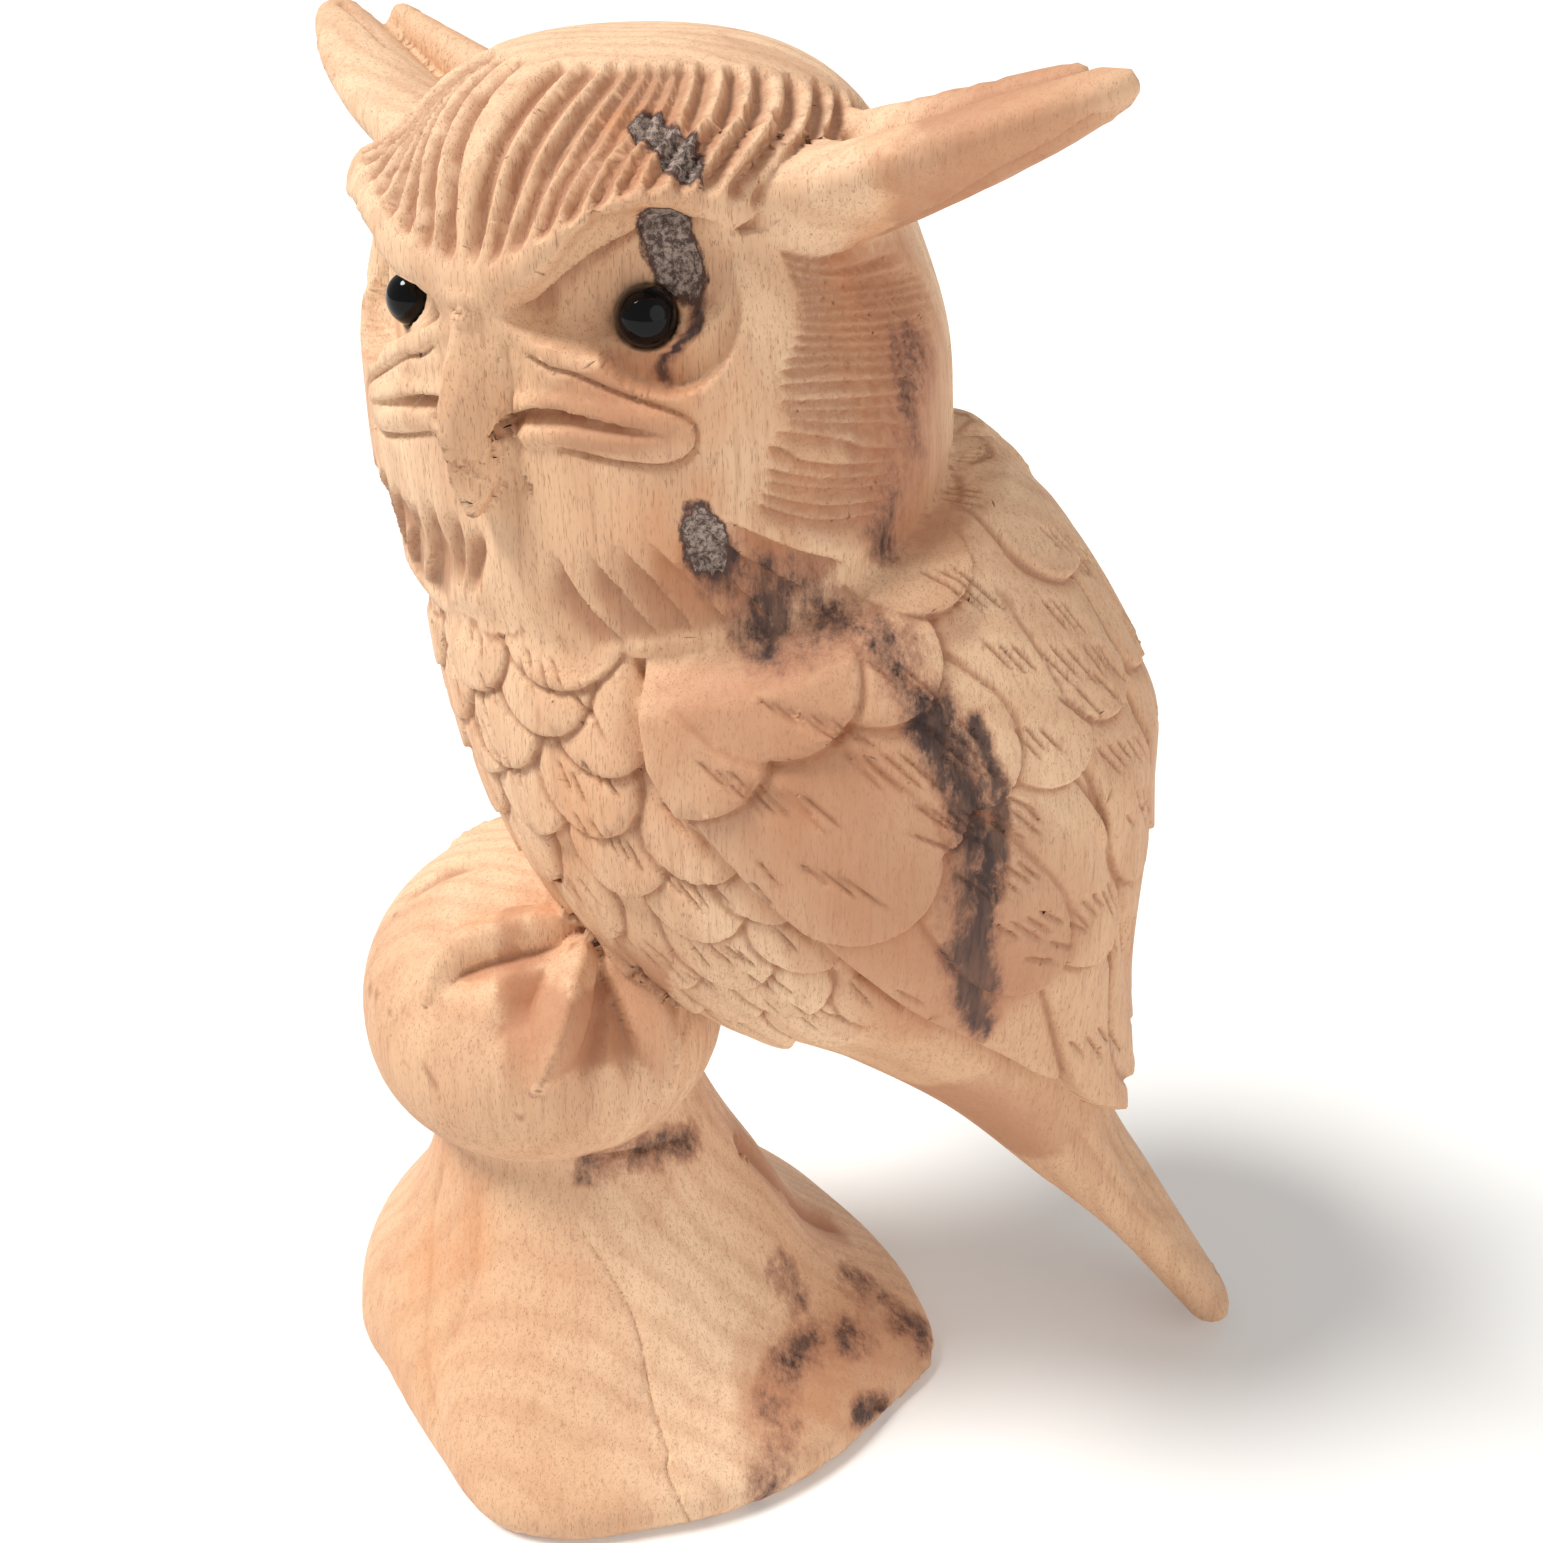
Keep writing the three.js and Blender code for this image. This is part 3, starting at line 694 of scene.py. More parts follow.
CHIN_LEAVES = [
    [(-24.6, -13.7), (-22.9, -25)], [(-20.8, -14.5), (-23.5, -34)], [(-14, -13.1), (-17, -34)],
    [(-8.3, -14), (-11, -31)], [(-2.3, -16), (-8.6, -31)]
]

# mass, path, depth, left, right, grow, fade, shape, count
LIPS = [
    ("face", [(6, 3.2), (16, 5), (26, 4.6), (35.5, 3)], 1, 4.4, None, .1, .2, 6, 24),
]
SLITS = [
    ("face", [(4, 1), (8.8, 5.2), (14.9, 6.4), (21.9, 5.9), (30, 4.9), (33, 4.6)], 3.6, .6, 2.6, .1, .6, 1.1),
    ("face", [(5.5, 19.5), (11.1, 22.1), (16.6, 27.2), (19.2, 29.4), (25.9, 33), (32.8, 34.4), (38, 32.5)],
     2.2, .5, 3.2, .2, .3, 1.1, 24),
]
FINE = [
    ("face", [(9.5, 15), (14.2, 12.9), (18.8, 12.4), (25.6, 10.2), (30.5, 8.6), (34.2, 6.8), (35.4, 4.1),
              (34.6, 1.2), (31.4, -.4), (25, -.4), (17.6, .4), (11, 1.2)], 1.3, .9, .5, .05, .12, 1, 48),
    ("face", [(6.2, 17), (6.6, 9), (5.4, 1.5), (3.6, -5), (.8, -13)], .9, 2.6, .6, .1, .35, 1.2),
    ("face", [(37.7, 2.2), (37.2, -.2), (35.7, -1.2)], .5, .5),
    ("face", [(5.4, 17.8), (9, 13.5), (8, 9), (6.8, 5.5), (5, 2.1)], .6, 2.5, .5),
]
BRIDGE = [
    ("face", [(-4, 21.8), (4, 21.4)], .9, 1.6, None, .3, .3, 3, 6),
    ("face", [(-2.5, 18.6), (2.8, 19.2)], .7, 1.2, None, .3, .3, 3, 6),
]
BARK_CUTS = [
    ("head", [(.185, 33), (.201, 35.7), (.239, 40.2), (.281, 42.7), (.32, 47)], 1, 4.2, None, .3, .3, 1.5),
    ("face", [(27.5, 37), (27.2, 31), (28.1, 26.7), (30, 20)], 1, 5, None, .2, .3, 1.6),
    ("head", [(.505, 41), (.53, 43.6), (.555, 45.2), (.59, 46.5)], 1.1, 4.8, None, .35, .35, 1.5),
]


def one_side(rows):
    return [stroke(*row) for row in rows]


def mirrored_cuts(rows):
    return [cut for row in rows for cut in both_sides(*row)]


flutes = []
for start in np.arange(2.4, 76, 4.7):
    end, low, high = (np.interp(start, FLUTE_ENDS[:, 0], FLUTE_ENDS[:, k]) for k in (1, 2, 3))
    middle = (low * 0.55 + high * 0.45, start * 0.62 + end * 0.38)
    flutes += both_sides("head", [(low, start), middle, (high, end)], 2.5, 1.7, 2.5, .16, .1, 1.3)
halfway = [(np.array(upper) + lower) / 2 for upper, lower in zip(COMB, COMB[1:])]
leaves = mirrored_cuts([("head", path, 2, .45, 3.4, .22, .3, .9) for path in COMB + halfway])
leaves += mirrored_cuts([("head", path, 2.8, .6, 7.5, .4, .25, 1.1) for path in SCOOPS])
leaves += one_side([("face", path, 2.4, 2.6, 3, .4, .4, 1.3, 8) for path in CHIN_LEAVES])
for angle in range(116, 246, 10):
    leaves.append(stroke("head", [(.47, angle), (.53, angle + 2), (.6, angle)], 1.4, 1.2, 5, .4, .35, 1.2))
lips = mirrored_cuts(LIPS) + one_side(BRIDGE)
slits, fine, bark_cuts = mirrored_cuts(SLITS), mirrored_cuts(FINE), one_side(BARK_CUTS)
for cut in flutes:
    cut["on"] = "brow"
print(len(flutes), "flutes and", len(leaves), "leaf cuts")

# %% [markdown]
# ## The cuts of body, perch and stump
# Each feather carries a few short ticks of a narrow chisel, never quite alike, so their number and
# place are drawn at random from one seed. Grooves part the long feathers and run down the back, broad
# scoops part the toes, and a drying crack, a chipped notch and flat facets mark the stump.

# %% The strokes on body, perch and stump
PER_T_BREAST, PER_T_WING = 170, 175  # millimetres along the body for one unit of t
TICK = dict(depth=1, left=.6, grow=.3, fade=.4, shape=1, count=4)
ticks = []
for tip_t, tips in BREAST_ROWS:
    for tip in tips:
        for side in ({1, -1} if tip else {1}):
            for k in range(rng.integers(2, 5)):
                t = tip_t - rng.uniform(10, 14) / PER_T_BREAST + 0.005 * k
                a = side * (tip + (k - 1.5) * 2.6 + rng.uniform(-0.5, 0.5))
                end = (t + rng.uniform(.03, .045), a + side * rng.uniform(0, 4))
                ticks.append(stroke("body", [(t, a), end], **TICK))
for t, a, wide, long, heading, _ in WING_ROWS:
    per_degree = np.interp(t, STEPS, AROUND)
    for side in (1, -1):
        for group in range(1 + int(long > 35) + int(long > 50)):
            back = (0.3 + 0.28 * group + rng.uniform(-.06, .06)) * long
            across = rng.uniform(-0.3, 0) * wide
            for k in range(rng.integers(3, 6)):
                start_t = t - (back - 1.3 * k) / PER_T_WING
                start_a = a + (across + 1.9 * k - back * math.tan(math.radians(heading))) / per_degree
                length = rng.uniform(6, 12)
                lean = math.tan(math.radians(heading + 8 + rng.uniform(-3, 3)))
                end = (start_t + length / PER_T_WING, side * (start_a + length * lean / per_degree))
                ticks.append(stroke("body", [(start_t, side * start_a), end], **TICK))

# %% Grooves, toes and cracks
# mass, path, depth, left, right, grow, fade, shape, count
GROOVES = [
    ("body", [(.373, 130), (.53, 136.5), (.668, 149)], .9, .7, 4),
    ("body", [(.702, 99), (.8, 106), (.925, 115)], 1, 1, 5, .25, .35, 1.3),
    ("body", [(.66, 160), (.8, 160), (.95, 150)], 1, 1, 5, .25, .35, 1.3),
    ("body", [(.68, 138), (.8, 138), (.95, 130)], 1, 1, 5, .25, .35, 1.3),
    ("perch", [(.07, -30), (.12, -5), (.156, 2.4), (.223, 2.1), (.31, 1.7)], 1.6, .8, 4.2, .4, .35, 1.2),
    ("perch", [(.212, 108), (.217, 91.6), (.23, 74.3), (.26, 60.5), (.296, 53), (.356, 49)],
     2.2, 5.5, 1.4, .25, .45, 1.3),
    ("perch", [(.262, 105), (.3, 91), (.35, 79), (.43, 68)], 2.6, 6.5, None, .15, .65, 1.4),
    ("perch", [(.258, 117), (.33, 112), (.39, 106.5), (.46, 102), (.54, 100)], 3, 4.5, None, .15, .6, 1.3),
    ("perch", [(.3, 118), (.38, 117.5), (.46, 116.5), (.56, 115)], 2.6, 5, None, .2, .6, 1.4),
    ("perch", [(.25, 128), (.33, 140), (.42, 143), (.52, 140)], 2.4, 7, None, .2, .6, 1.3),
    ("perch", [(.72, 95), (.745, 113), (.752, 135), (.765, 156)], 1.2, 1.6, None, .25, .35, 1.4),
]
BACK_GROOVE = ("body", [(.1, 180), (.35, 180), (.66, 180)], 3, 3, None, .1, .1, 1.3)
CRACKS = [
    ("stump", [(.875, 83.5), (.771, 91.7), (.65, 99.1), (.533, 103.6), (.429, 104.9), (.314, 103.2),
               (.259, 100.2), (.03, 99)], .8, .45, None, .2, .02, 1, 30),
    ("stump", [(.16, 147), (.1, 148), (.04, 148)], 3, 3.2, None, .5, .3, 1.3),
    ("stump", [(.9, 26), (.694, 17), (.509, 33), (.335, 44.7), (.2, 54)], .9, 5, 1.2, .2, .3, 1),
    ("stump", [(.97, 15), (.96, 60), (.94, 100), (.915, 129), (.88, 156)], 1.2, .9, None, .25, .35, 1.2, 24),
    ("stump", [(.86, 47), (.576, 48.5), (.4, 47)], .8, 4, 1.2, .2, .3, 1),
    ("stump", [(.85, 176), (.6, 178), (.4, 184), (.25, 192)], 2.2, 6, 3, .2, .3, 1.2),
]
grooves, cracks = mirrored_cuts(GROOVES) + [stroke(*BACK_GROOVE)], one_side(CRACKS)
groups = [flutes, leaves, ticks, lips, slits, fine, bark_cuts, grooves, cracks]
pressed([s for group in groups for s in group])
print(sum(len(g) for g in groups), "strokes laid")

# %% [markdown]
# ## The carved height of every point
# The feathers and the cuts are added into one height over the plain form. Near a join between two
# masses the feathers fade, because a gouge can't reach into the corner. The round eye hollows are
# sunk along the eye's own axis instead, so their floor is level and their rim stays crisp.

# %% Carved height
DISH_AT, DISH = np.array([27.5, -32.2, 18.4]), 11.0  # middle and radius of an eye hollow
DISH_WAY = unit(np.array([.53, -.84, .08]))


def from_axis(Q, middle, side):
    """How far each point is along the eye's axis from a middle, and how far off that axis."""
    way = DISH_WAY * [side, 1, 1]
    off = Q - on_face_frame(middle * [side, 1, 1])
    above = off @ way
    return above, np.linalg.norm(off - above[:, None] * way, axis=1)


def eye_dish(Q, side):
    """How far each point moves along the eye's axis: a round dish, and the bead's seat. Then the rim."""
    above, wide = from_axis(Q, DISH_AT, side)
    near = (np.abs(above) < 14) & (Q[:, 1] < -8)
    floor = 0.6 * (1 - (wide / DISH) ** 2)
    sunk = np.clip(floor - above, -9, 0) * smooth(DISH + 0.25, DISH - 0.25, wide) * near
    rim = smooth(DISH + 1.2, DISH - 0.2, wide) * near
    above, wide = from_axis(Q, EYE, side)
    seat = -np.sqrt(np.clip((BEAD + 0.4) ** 2 - wide ** 2, 0, None)) - above
    hole = smooth(BEAD + 0.3, BEAD, wide) * near
    return sunk * (1 - hole) + np.clip(seat, -12, 0) * hole, rim


def carved(P):
    far, own, (t, angle) = whole_form(P)
    masses = ("body", "head", "perch", "stump")
    # a mass carries its own cuts, and they fade towards the join with the next one
    weights = {m: smooth(-0.3, 1.6, np.min([own[k] for k in masses if k != m], 0) - own[m]) for m in masses}
    weights["brow"] = weights["head"] * smooth(0.3, 2.5, own["ears"])
    weights["perch"] = weights["perch"] * smooth(0.2, 0.9, own["toes"])
    high = np.zeros(len(P))
    on = np.flatnonzero((weights["body"] > 0) & (own["body"] < 3))
    room = 0.9 * np.clip(np.minimum(own["head"], own["perch"])[on], 0, None)
    high[on] = np.minimum(body_relief(t[on], angle[on]), room)
    high -= np.maximum(cut_depth(P, flutes, weights), cut_depth(P, leaves, weights))
    high -= cut_depth(P, ticks, weights) + cut_depth(P, grooves, weights) + cut_depth(P, cracks)
    high += cut_depth(P, lips) - cut_depth(P, slits) - cut_depth(P, fine)
    bark = cut_depth(P, bark_cuts)
    Q = into_head(P)
    dishes = [eye_dish(Q, side) for side in (1, -1)]
    calm = (1 - dishes[0][1]) * (1 - dishes[1][1])
    return high * calm - bark, [sunk for sunk, _ in dishes], bark, far


def carved_height(P):
    high, dishes, _, far = carved(P)
    return high + dishes[0] + dishes[1], far

# %% [markdown]
# ## Refine only where the knife went
# A fine mesh everywhere would be far too heavy. Edges are split only where the carved height between
# their ends differs from a straight line, so plain wood stays coarse and every feather edge is crisp.

# %% Refine and carve
FINEST = 0.42
STRAIGHT = [.35, .35, .35, .3, .25, .2, .15, .12, .09, .07]  # how far off an edge may be, round by round
LIMIT = 197000  # triangles
LONG = 1.6  # millimetres; a longer edge is measured at more places along it
SHOWN = np.array([0.9, -0.35, 0.2])  # towards the side that the photo shows, which gets finer edges


def squared_length(edge):
    return (edge.verts[0].co - edge.verts[1].co).length_squared


def bend(P, H, a, b, steps):
    """How far the carved surface leaves the straight edge from a to b."""
    wrong = np.zeros(len(a))
    for f in steps:
        at, far = carved_height(P[a] * (1 - f) + P[b] * f)
        wrong = np.maximum(wrong, np.abs(at - H[a] * (1 - f) - H[b] * f) + 0.4 * np.abs(far))
    return wrong


def refine(bm):
    P, H = np.zeros((0, 3)), np.zeros(0)
    for name in ("tested", "error"):
        bm.edges.layers.float.new(name)
    tested, error = (bm.edges.layers.float[name] for name in ("tested", "error"))
    for turn, off in enumerate(STRAIGHT):
        bm.verts.ensure_lookup_table()
        bm.edges.ensure_lookup_table()
        fresh = bm.verts[len(P):]
        if fresh:
            new = drawn_onto_form(co_array(fresh), 4 if turn == 0 else 1)
            move(fresh, new)
            P, H = np.concatenate([P, new]), np.concatenate([H, carved_height(new)[0]])
        a, b = np.array([(e.verts[0].index, e.verts[1].index) for e in bm.edges]).T
        seen, wrong = np.array([(e[tested], e[error]) for e in bm.edges]).T
        length = np.linalg.norm(P[a] - P[b], axis=1)
        new = np.abs(seen - length) > 1e-4
        wrong[new] = 0
        for choose, steps in (((length > 1.8 * FINEST) & (length <= LONG), (.25, .5, .75)),
                              (length > LONG, (.14, .28, .42, .56, .7, .84))):
            test = np.flatnonzero(new & choose)
            wrong[test] = bend(P, H, a[test], b[test], steps)
        # the hidden side may be half as exact
        wrong[new] *= np.where(P[a[new]] @ SHOWN > P.mean(0) @ SHOWN - 12, 1, 0.5)
        for k in np.flatnonzero(new):
            bm.edges[k][tested], bm.edges[k][error] = length[k], wrong[k]
        chosen = np.argsort(-wrong)
        chosen = chosen[wrong[chosen] > off][:max(0, (LIMIT - len(bm.faces)) // 3)]
        # the longest edge of each face beside a chosen edge is split too, so no sliver is left
        marked = set(chosen.tolist())
        for k in chosen:
            for face in bm.edges[k].link_faces:
                marked.add(max(face.edges, key=squared_length).index)
        if marked:
            bmesh.ops.subdivide_edges(bm, edges=[bm.edges[k] for k in marked], cuts=1)
            bmesh.ops.triangulate(bm, faces=[f for f in bm.faces if len(f.verts) > 3])
        print("round", turn, "split", len(marked), "edges, now", len(bm.faces), "triangles")


def carve(skin):
    bm = bmesh.new()
    bm.from_mesh(skin)
    bmesh.ops.triangulate(bm, faces=bm.faces)
    refine(bm)
    P = drawn_onto_form(co_array(bm.verts), 1, 0.5)
    high, dishes, bark, _ = carved(P)
    far, t, angle = body_form(P)
    # painted shade, stored as the mark cut: darker in the cuts, under each feather's tip and along the ticks
    crease = (body_relief(t, angle, 0) - body_relief(t, angle)) * (np.abs(far) < 1)
    shade = np.max([np.clip(-high / 2, 0, 1), crease * 1.3, cut_depth(P, ticks)], 0)
    out = P + outward(P) * high[:, None]
    for side, sunk in zip((1, -1), dishes):
        out += sunk[:, None] * (DISH_WAY * [side, 1, 1] @ TURN.T)
    move(bm.verts, out * MM)
    bmesh.ops.recalc_face_normals(bm, faces=bm.faces)
    return mesh_from(bm, "owl_wood"), P, shade, bark


owl_mesh, flat, shade, bark = carve(skin)
print("carved:", len(owl_mesh.polygons), "triangles")

# %% [markdown]
# ## What lies in the wood
# Stains, warm orange tints and the grey bark follow the block, not the carving, so each is painted
# with the same strokes the gouges use and stored at every point for the wood to read. A painted shade
# on the sides away from the light is laid with the same strokes, and the painted shade in the cuts is
# stored beside them as the mark cut.

# %% Marks kept at every point
MARKS = {  # mass, path, strength, width on its left and, where it differs, on its right
    "stain": [
        ("body", [(.2, 114), (.256, 113), (.31, 112), (.367, 107), (.45, 100.5), (.555, 93)], 1, 6.5, 5.5),
        ("body", [(.34, 116), (.39, 108), (.46, 101), (.56, 93.5)], 1.5, 3),
        ("body", [(.25, 120), (.31, 118.5), (.36, 115), (.41, 108)], 1.2, 2.2),
        ("body", [(.12, 104), (.17, 112), (.22, 114)], .8, 7),
        ("head", [(.525, 40), (.578, 50), (.601, 58), (.624, 61.5), (.65, 45)], .8, 9),
        ("face", [(31, 24), (31.8, 19), (31, 14.5), (30, 11)], 1.3, 1.6),
        ("head", [(.44, 100), (.5, 92), (.54, 85), (.58, 78)], .6, 8),
        ("stump", [(.28, 128), (.315, 130.5), (.344, 137.5), (.343, 147), (.301, 154.5), (.235, 152.6)], .72,
         6.5),
        ("stump", [(.33, 132), (.254, 124.8), (.162, 119), (.03, 118)], .62, 8),
        ("stump", [(.54, 151), (.451, 154), (.39, 153)], .65, 6),
        ("stump", [(.38, 171), (.292, 167.6), (.2, 166), (.1, 165)], .75, 7.5),
        ("stump", [(.2, 140), (.12, 148), (.04, 148)], 1, 4.5),
        ("stump", [(.96, 92), (.935, 107), (.915, 129), (.87, 156)], .75, 6),
    ],
    # painted shade: darker on the sides of body, head, perch and stump that face away from the light
    "painted_shade": [
        ("body", [(.13, 90), (.25, 92), (.4, 100), (.56, 105)], 1, 26),
        ("head", [(.36, 80), (.45, 88), (.58, 80)], 1, 24),
        ("head", [(.45, 25), (.5, 30)], 1, 12), ("head", [(.3, 80), (.33, 100)], 1, 16),
        ("body", [(.6, 60), (.75, 60)], 1, 14), ("perch", [(.3, 105), (.45, 105)], 1, 16),
        ("stump", [(.34, 120), (.28, 145), (.2, 170)], .7, 16),
        ("stump", [(.8, 180), (.5, 182), (.3, 188)], 1, 8),
    ],
    "warm": [
        ("head", [(.18, 30), (.24, 37), (.3, 42)], 1, 9), ("head", [(.4, 34), (.45, 44)], 1, 10),
        ("head", [(.5, 38), (.6, 55)], 1, 14), ("head", [(.36, 75), (.45, 85), (.56, 75)], 1, 26),
        ("perch", [(.17, 120), (.16, 80), (.25, 45)], 1, 9), ("stump", [(.9, 20), (.5, 30), (.2, 35)], 1, 14),
        ("body", [(.2, 100), (.4, 95), (.55, 90)], 1, 18), ("stump", [(.4, 140), (.1, 140)], 1, 20),
        ("face", [(22, 11), (29, 12), (34, 17)], 1, 8), ("stump", [(.88, 36), (.74, 44), (.5, 40)], 1, 9),
    ],
}
SOFT_ENDS = dict(grow=0.12, fade=0.12, count=16)
marks = {name: [stroke(*row, **SOFT_ENDS) for row in rows] for name, rows in MARKS.items()}
pressed([s for group in marks.values() for s in group])
# the mark cut is painted shade in the cuts and under the feather tips
kept = {name: cut_depth(flat, group) for name, group in marks.items()} | dict(bark=bark, cut=shade)
for name, values in kept.items():
    owl_mesh.attributes.new(name, "FLOAT", "POINT").data.foreach_set("value", values)
    print(name, "covers", round(100 * np.mean(values > 0.1)), "% of the points")

# %% [markdown]
# ## The owl as one finished piece
# The carved skin becomes one smooth-shaded object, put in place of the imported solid. The eyes are
# glass beads: plain spheres with enough segments to stay round close up, set in their cut seats.

# %% Put the pieces in place
def piece(name, mesh, node):
    ob = placed(name, mesh)
    mesh.shade_smooth()
    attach(ob, "root")
    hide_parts(node)
    return ob


def bead(side):
    bm = bmesh.new()
    bmesh.ops.create_uvsphere(bm, u_segments=64, v_segments=40, radius=BEAD * MM)
    place = out_of_head(on_face_frame(EYE * [side, 1, 1]))
    bmesh.ops.translate(bm, verts=bm.verts, vec=Vector(place * MM))
    return mesh_from(bm, "eye_bead")


owl = piece("carved_owl", owl_mesh, "owl_carving")
beads = [piece(name, bead(side), name) for name, side in (("eye_left", 1), ("eye_right", -1))]

# %% [markdown]
# ## Shader sums in plain Python
# A shader socket is wrapped so that it can be added and multiplied like a number. Each sum adds the
# node that does it, so a finish reads as a formula. Sums of two numbers are worked out in Python.

# %% Sockets that can be added
class Sock:
    def __init__(self, tree, socket):
        self.tree, self.socket = tree, socket

    def node(self, kind, settings=None, inputs=None, out=0):
        made = self.tree.nodes.new(kind)
        for key, value in (settings or {}).items():
            setattr(made, key, value)
        for key, value in (inputs or {}).items():
            if isinstance(value, Sock):
                self.tree.links.new(value.socket, made.inputs[key])
            else:
                made.inputs[key].default_value = value
        return Sock(self.tree, made.outputs[out])

    def math(self, kind, *others, clamp=False):
        settings = dict(operation=kind, use_clamp=clamp)
        return self.node("ShaderNodeMath", settings, dict(enumerate((self, *others))))

    def __add__(self, other):
        return self.math("ADD", other)

    def __sub__(self, other):
        return self.math("SUBTRACT", other)

    def __mul__(self, other):
        return self.math("MULTIPLY", other)

    def __rsub__(self, other):
        return self * -1 + other

    __radd__, __rmul__ = __add__, __mul__

    def clamp(self):
        return self.math("ADD", 0.0, clamp=True)

    def band(self, low, high):
        """0 below low, 1 above high, soft between."""
        return self.node("ShaderNodeMapRange", dict(interpolation_type="SMOOTHSTEP"),
                         {"Value": self, "From Min": low, "From Max": high})

    def blend(self, colour, other):
        """This socket is the factor between two colours."""
        return self.node("ShaderNodeMix", dict(data_type="RGBA"), {0: self, 6: colour, 7: other}, out=2)

    def mark(self, name):
        """A value kept at every point of the piece."""
        return self.node("ShaderNodeAttribute", dict(attribute_name=name), out=2)

    def stretched(self, by, shift=(0, 0, 0)):
        return self.node("ShaderNodeVectorMath", dict(operation="MULTIPLY_ADD"), {0: self, 1: by, 2: shift})

    def noise(self, scale, detail=3.0, stretch=(1, 1, 1), rough=0.5, warp=0.0):
        place = self.stretched(stretch)
        return self.node("ShaderNodeTexNoise", inputs={
            "Vector": place, "Scale": scale, "Detail": detail, "Roughness": rough, "Distortion": warp})


def srgb(*colour):
    """A colour as a screen shows it, 0 to 255, made linear for the shader."""
    part = [((c / 255 + 0.055) / 1.055) ** 2.4 if c > 10 else c / 255 / 12.92 for c in colour]
    return (*part, 1.0)


def new_material(name, **values):
    material = bpy.data.materials.new(name)
    material.use_nodes = True
    shader = material.node_tree.nodes["Principled BSDF"]
    for key, value in values.items():
        shader.inputs[key.replace("_", " ")].default_value = value
    return material, material.node_tree, shader

# %% [markdown]
# ## The wood
# The wood is pale and straight grained, with the grain upright in the block. Growth rings lie round a
# heart just outside the owl, and close up short dark pores show along the grain. Each layer below is a
# mask and the colour it blends in, from slow pale drifts to the painted shade in the cuts, the orange
# tints and the painted shade on the sides away from the light, all kept at every point. Noise makes
# the edges of the stains and the bark ragged.

# %% Wood
wood, tree, shader = new_material("pale_carved_wood")
place = Sock(tree, tree.nodes.new("ShaderNodeTexCoord").outputs["Object"])
drift = place.noise(12.0, 3.0, (1, 1, 0.4))
bands = place.noise(70.0, 4.0, (1, 1, 0.06), 0.6, 0.3)
fibre = place.noise(1100.0, 3.0, (1, 1, 0.05), 0.7)
pores = place.noise(4200.0, 1.0, (1, 1, 0.12), 0.5).band(0.58, 0.72)
from_heart = place.stretched((1, 1, 0.05), (0.09, -0.02, 0))
heart = place.node("ShaderNodeVectorMath", dict(operation="LENGTH"), {0: from_heart}, out=1)
rings = (heart * 1150 + place.noise(30.0, 3.0, (1, 1, 0.3)) * 16).math("SINE").band(-0.2, 1.0)
warm = place.mark("warm") * place.noise(90.0, 4.0, (1, 1, 0.5)).band(0.3, 0.7)
colour = drift.band(0.35, 0.65).blend(srgb(238, 202, 166), srgb(219, 175, 137))
for layer, tone in (
    (bands.band(0.45, 0.75) * 0.4, (196, 140, 106)),
    (rings * 0.22, (190, 134, 98)),
    (fibre.band(0.45, 0.8) * 0.5, (168, 114, 84)),
    (pores * 0.45, (124, 80, 58)),
    # painted shade in the cuts, under the feather tips and along the ticks
    (place.mark("cut").band(0.15, 0.9) * 0.6, (156, 98, 66)),
    (warm * 0.5, (206, 136, 86)),
    # painted shade on the sides away from the light
    (place.mark("painted_shade") * 0.75, (180, 124, 90)),
):
    colour = layer.blend(colour, srgb(*tone))
print("plain wood:", len(tree.nodes), "nodes")

# %% Stains and bark
ragged = place.noise(110.0, 6.0, (1, 1, 0.5), 0.78)
streak = place.noise(260.0, 4.0, (1, 1, 0.1), 0.7)
stain = place.mark("stain") + (ragged - 0.5) * 3.2 * place.mark("stain").band(0.0, 0.3)
colour = (stain.band(0.0, 0.6) * 0.6).blend(colour, srgb(160, 106, 80))
colour = (stain.band(0.4, 1.1) * (0.2 + streak * 1.35)).clamp().blend(colour, srgb(64, 42, 36))
grit = place.noise(900.0, 4.0, (1, 1, 1), 0.8).band(0.4, 0.62)
crumbs = (place.noise(190.0, 6.0, (1, 1, 0.6), 0.75) - 0.5) * 1.5
bark_field = place.mark("bark") + crumbs * place.mark("bark").band(0.0, 0.2)
colour = bark_field.band(0.12, 0.4).blend(colour, srgb(78, 48, 38))
bark_edge = bark_field.band(0.42, 0.52)
colour = bark_edge.blend(colour, grit.blend(srgb(76, 58, 50), srgb(170, 150, 138)))
tree.links.new(colour.socket, shader.inputs["Base Color"])
tree.links.new((0.62 + fibre * 0.12).socket, shader.inputs["Roughness"])
facets = place.node("ShaderNodeTexVoronoi", dict(feature="F1"),
                    {"Vector": place.stretched((1, 1, 0.5)), "Scale": 160.0})
fine_bump = place.node("ShaderNodeBump", inputs={"Strength": 0.3, "Distance": 0.0003,
                                                 "Height": fibre * 0.6 - pores + grit * bark_edge * 1.5})
bump = place.node("ShaderNodeBump", inputs={"Strength": 0.35, "Distance": 0.0008, "Height": facets,
                                            "Normal": fine_bump})
tree.links.new(bump.socket, shader.inputs["Normal"])
owl.data.materials.append(wood)
print("wood:", len(tree.nodes), "nodes")

# %% [markdown]
# ## Black glass
# The beads are solid black glass: very dark, very smooth, with one bright glint.

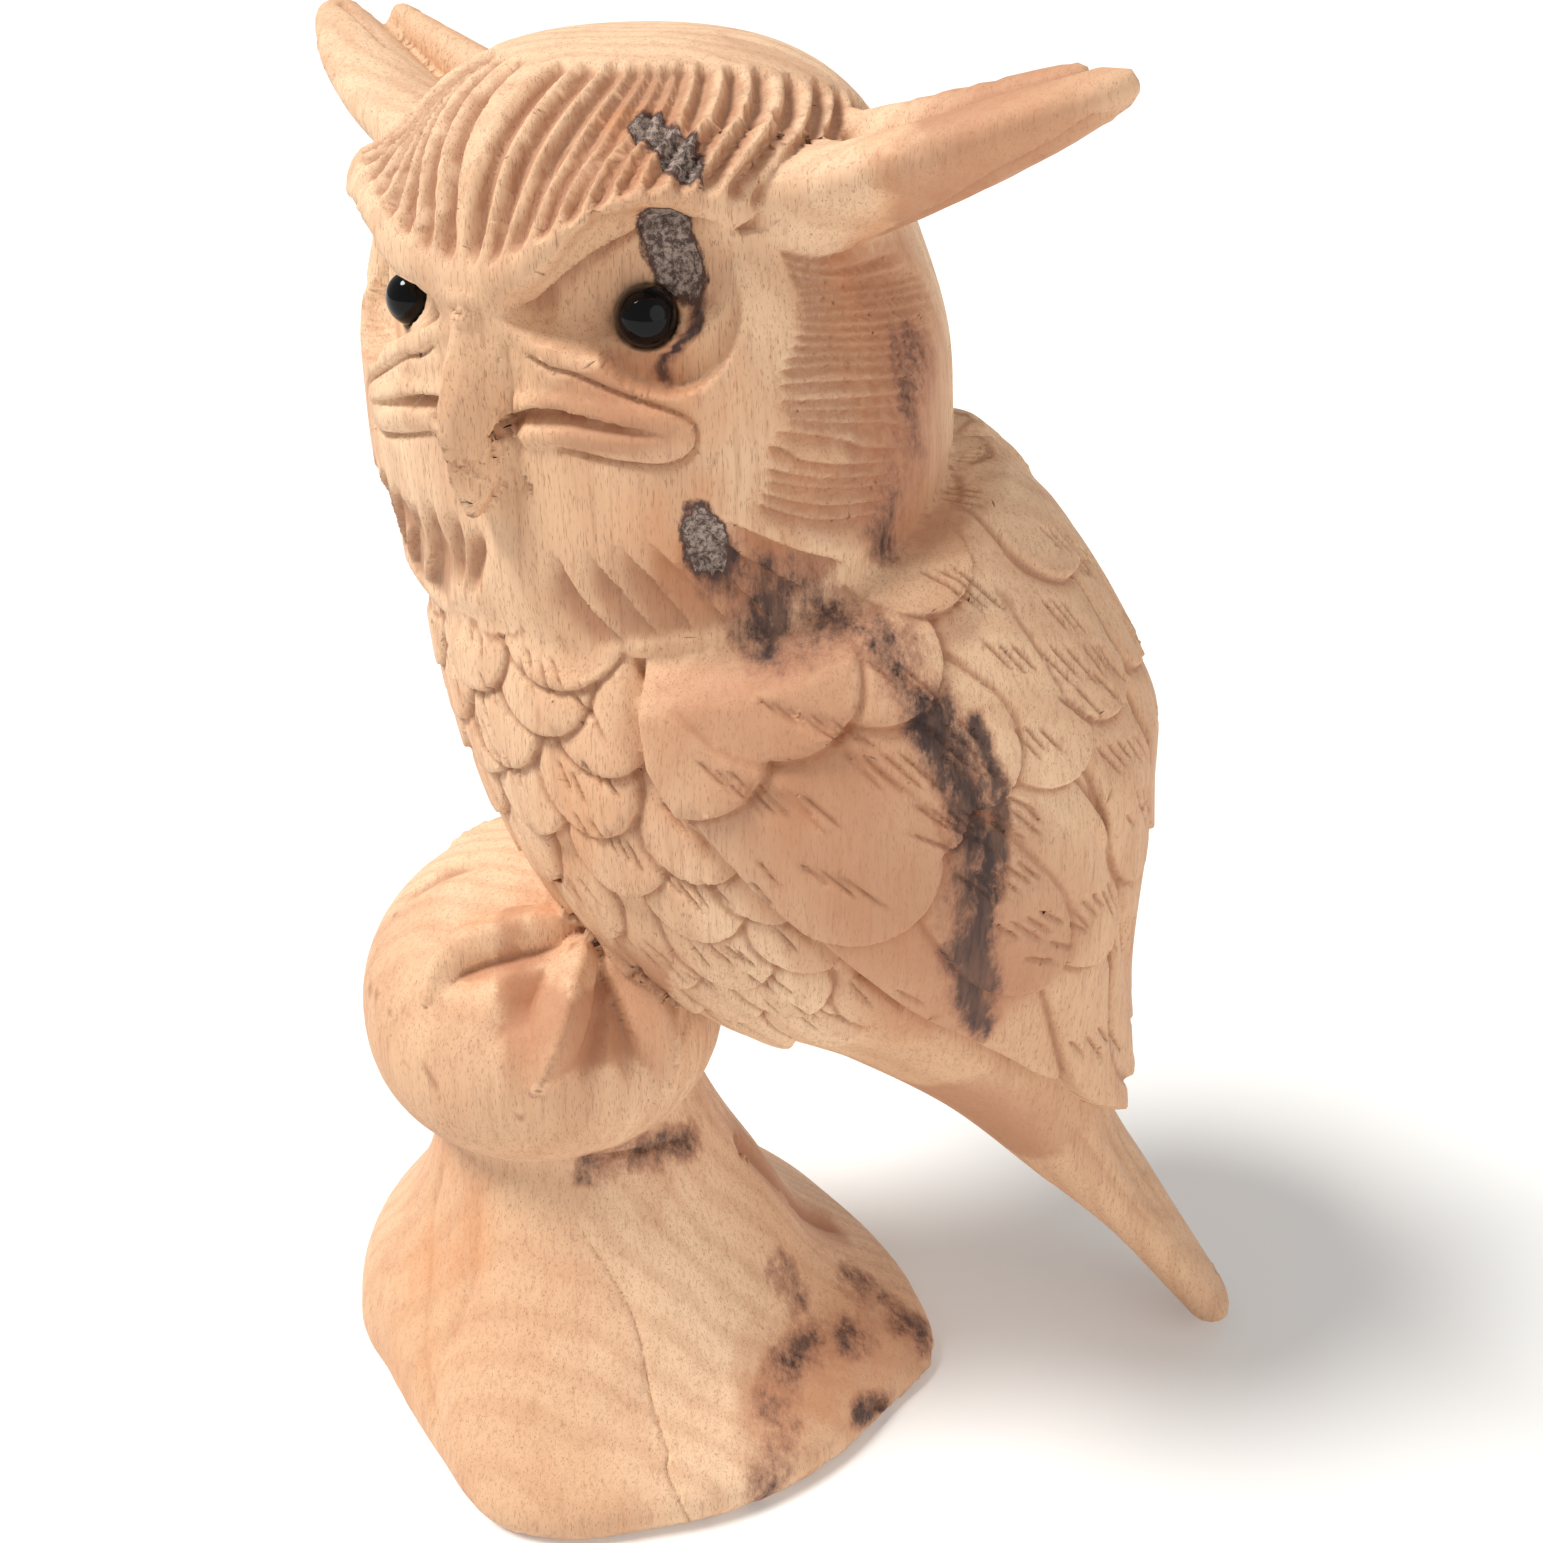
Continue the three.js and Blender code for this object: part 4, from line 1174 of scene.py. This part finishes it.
# %% Glass
GLINT = dict(Roughness=0.08, Specular_IOR_Level=0.2)
glass, _, _ = new_material("black_bead_glass", Base_Color=srgb(7, 8, 11), **GLINT)
for ob in beads:
    ob.data.materials.append(glass)
print("glass on", len(beads), "beads of", 2 * BEAD, "mm")

# %% [markdown]
# ## Studio
# The photo has a white sweep, a large soft light from the left and above, a faint shadow to the right,
# and a pale glow on the sides that face away from the light. Two broad suns do that: one is a window,
# the other the wall behind the camera. The camera looks down a little on the owl's own left side.

# %% Floor, light and camera
bpy.context.scene.view_settings.view_transform = "Standard"
bpy.ops.mesh.primitive_plane_add(size=6)
floor = bpy.context.object
floor.name = "white_sweep"
paper, _, _ = new_material("white_paper", Base_Color=(0.8, 0.8, 0.79, 1), Roughness=0.9,
                           Emission_Color=(1, 0.99, 0.98, 1), Emission_Strength=0.12)
floor.data.materials.append(paper)

world = bpy.data.worlds.new("pale_room")
bpy.context.scene.world = world
world.use_nodes = True
sky = world.node_tree.nodes["Background"].inputs
sky["Color"].default_value = (1, 0.99, 0.975, 1)
sky["Strength"].default_value = 0.4


def window(name, energy, soft, way, colour):
    light = bpy.data.lights.new(name, "SUN")
    light.energy, light.angle, light.color = energy, math.radians(soft), colour
    placed(name, light).rotation_euler = Vector(way).to_track_quat("-Z", "Y").to_euler()


window("big_window", 3.35, 18, (-.05, .62, -1), (1, .985, .955))
window("pale_wall", .8, 60, (-.75, -.75, -.35), (1, .98, .96))

# %% The camera
# fitted to the outline in the photo: heading, tilt, place in metres and a lens in millimetres
camera = placed("photo_view", bpy.data.cameras.new("photo_view"))
toward, down = math.radians(84), math.radians(28.9)
ahead = Vector((-math.sin(toward) * math.cos(down), math.cos(toward) * math.cos(down), -math.sin(down)))
camera.location = Vector((0.30835, -0.00326, 0.318))
camera.rotation_euler = ahead.to_track_quat("-Z", "Y").to_euler()
camera.data.lens, camera.data.sensor_width, camera.data.sensor_height = 42.0, 36.0, 36.0
camera.data.clip_start = 0.01
bpy.context.scene.camera = camera
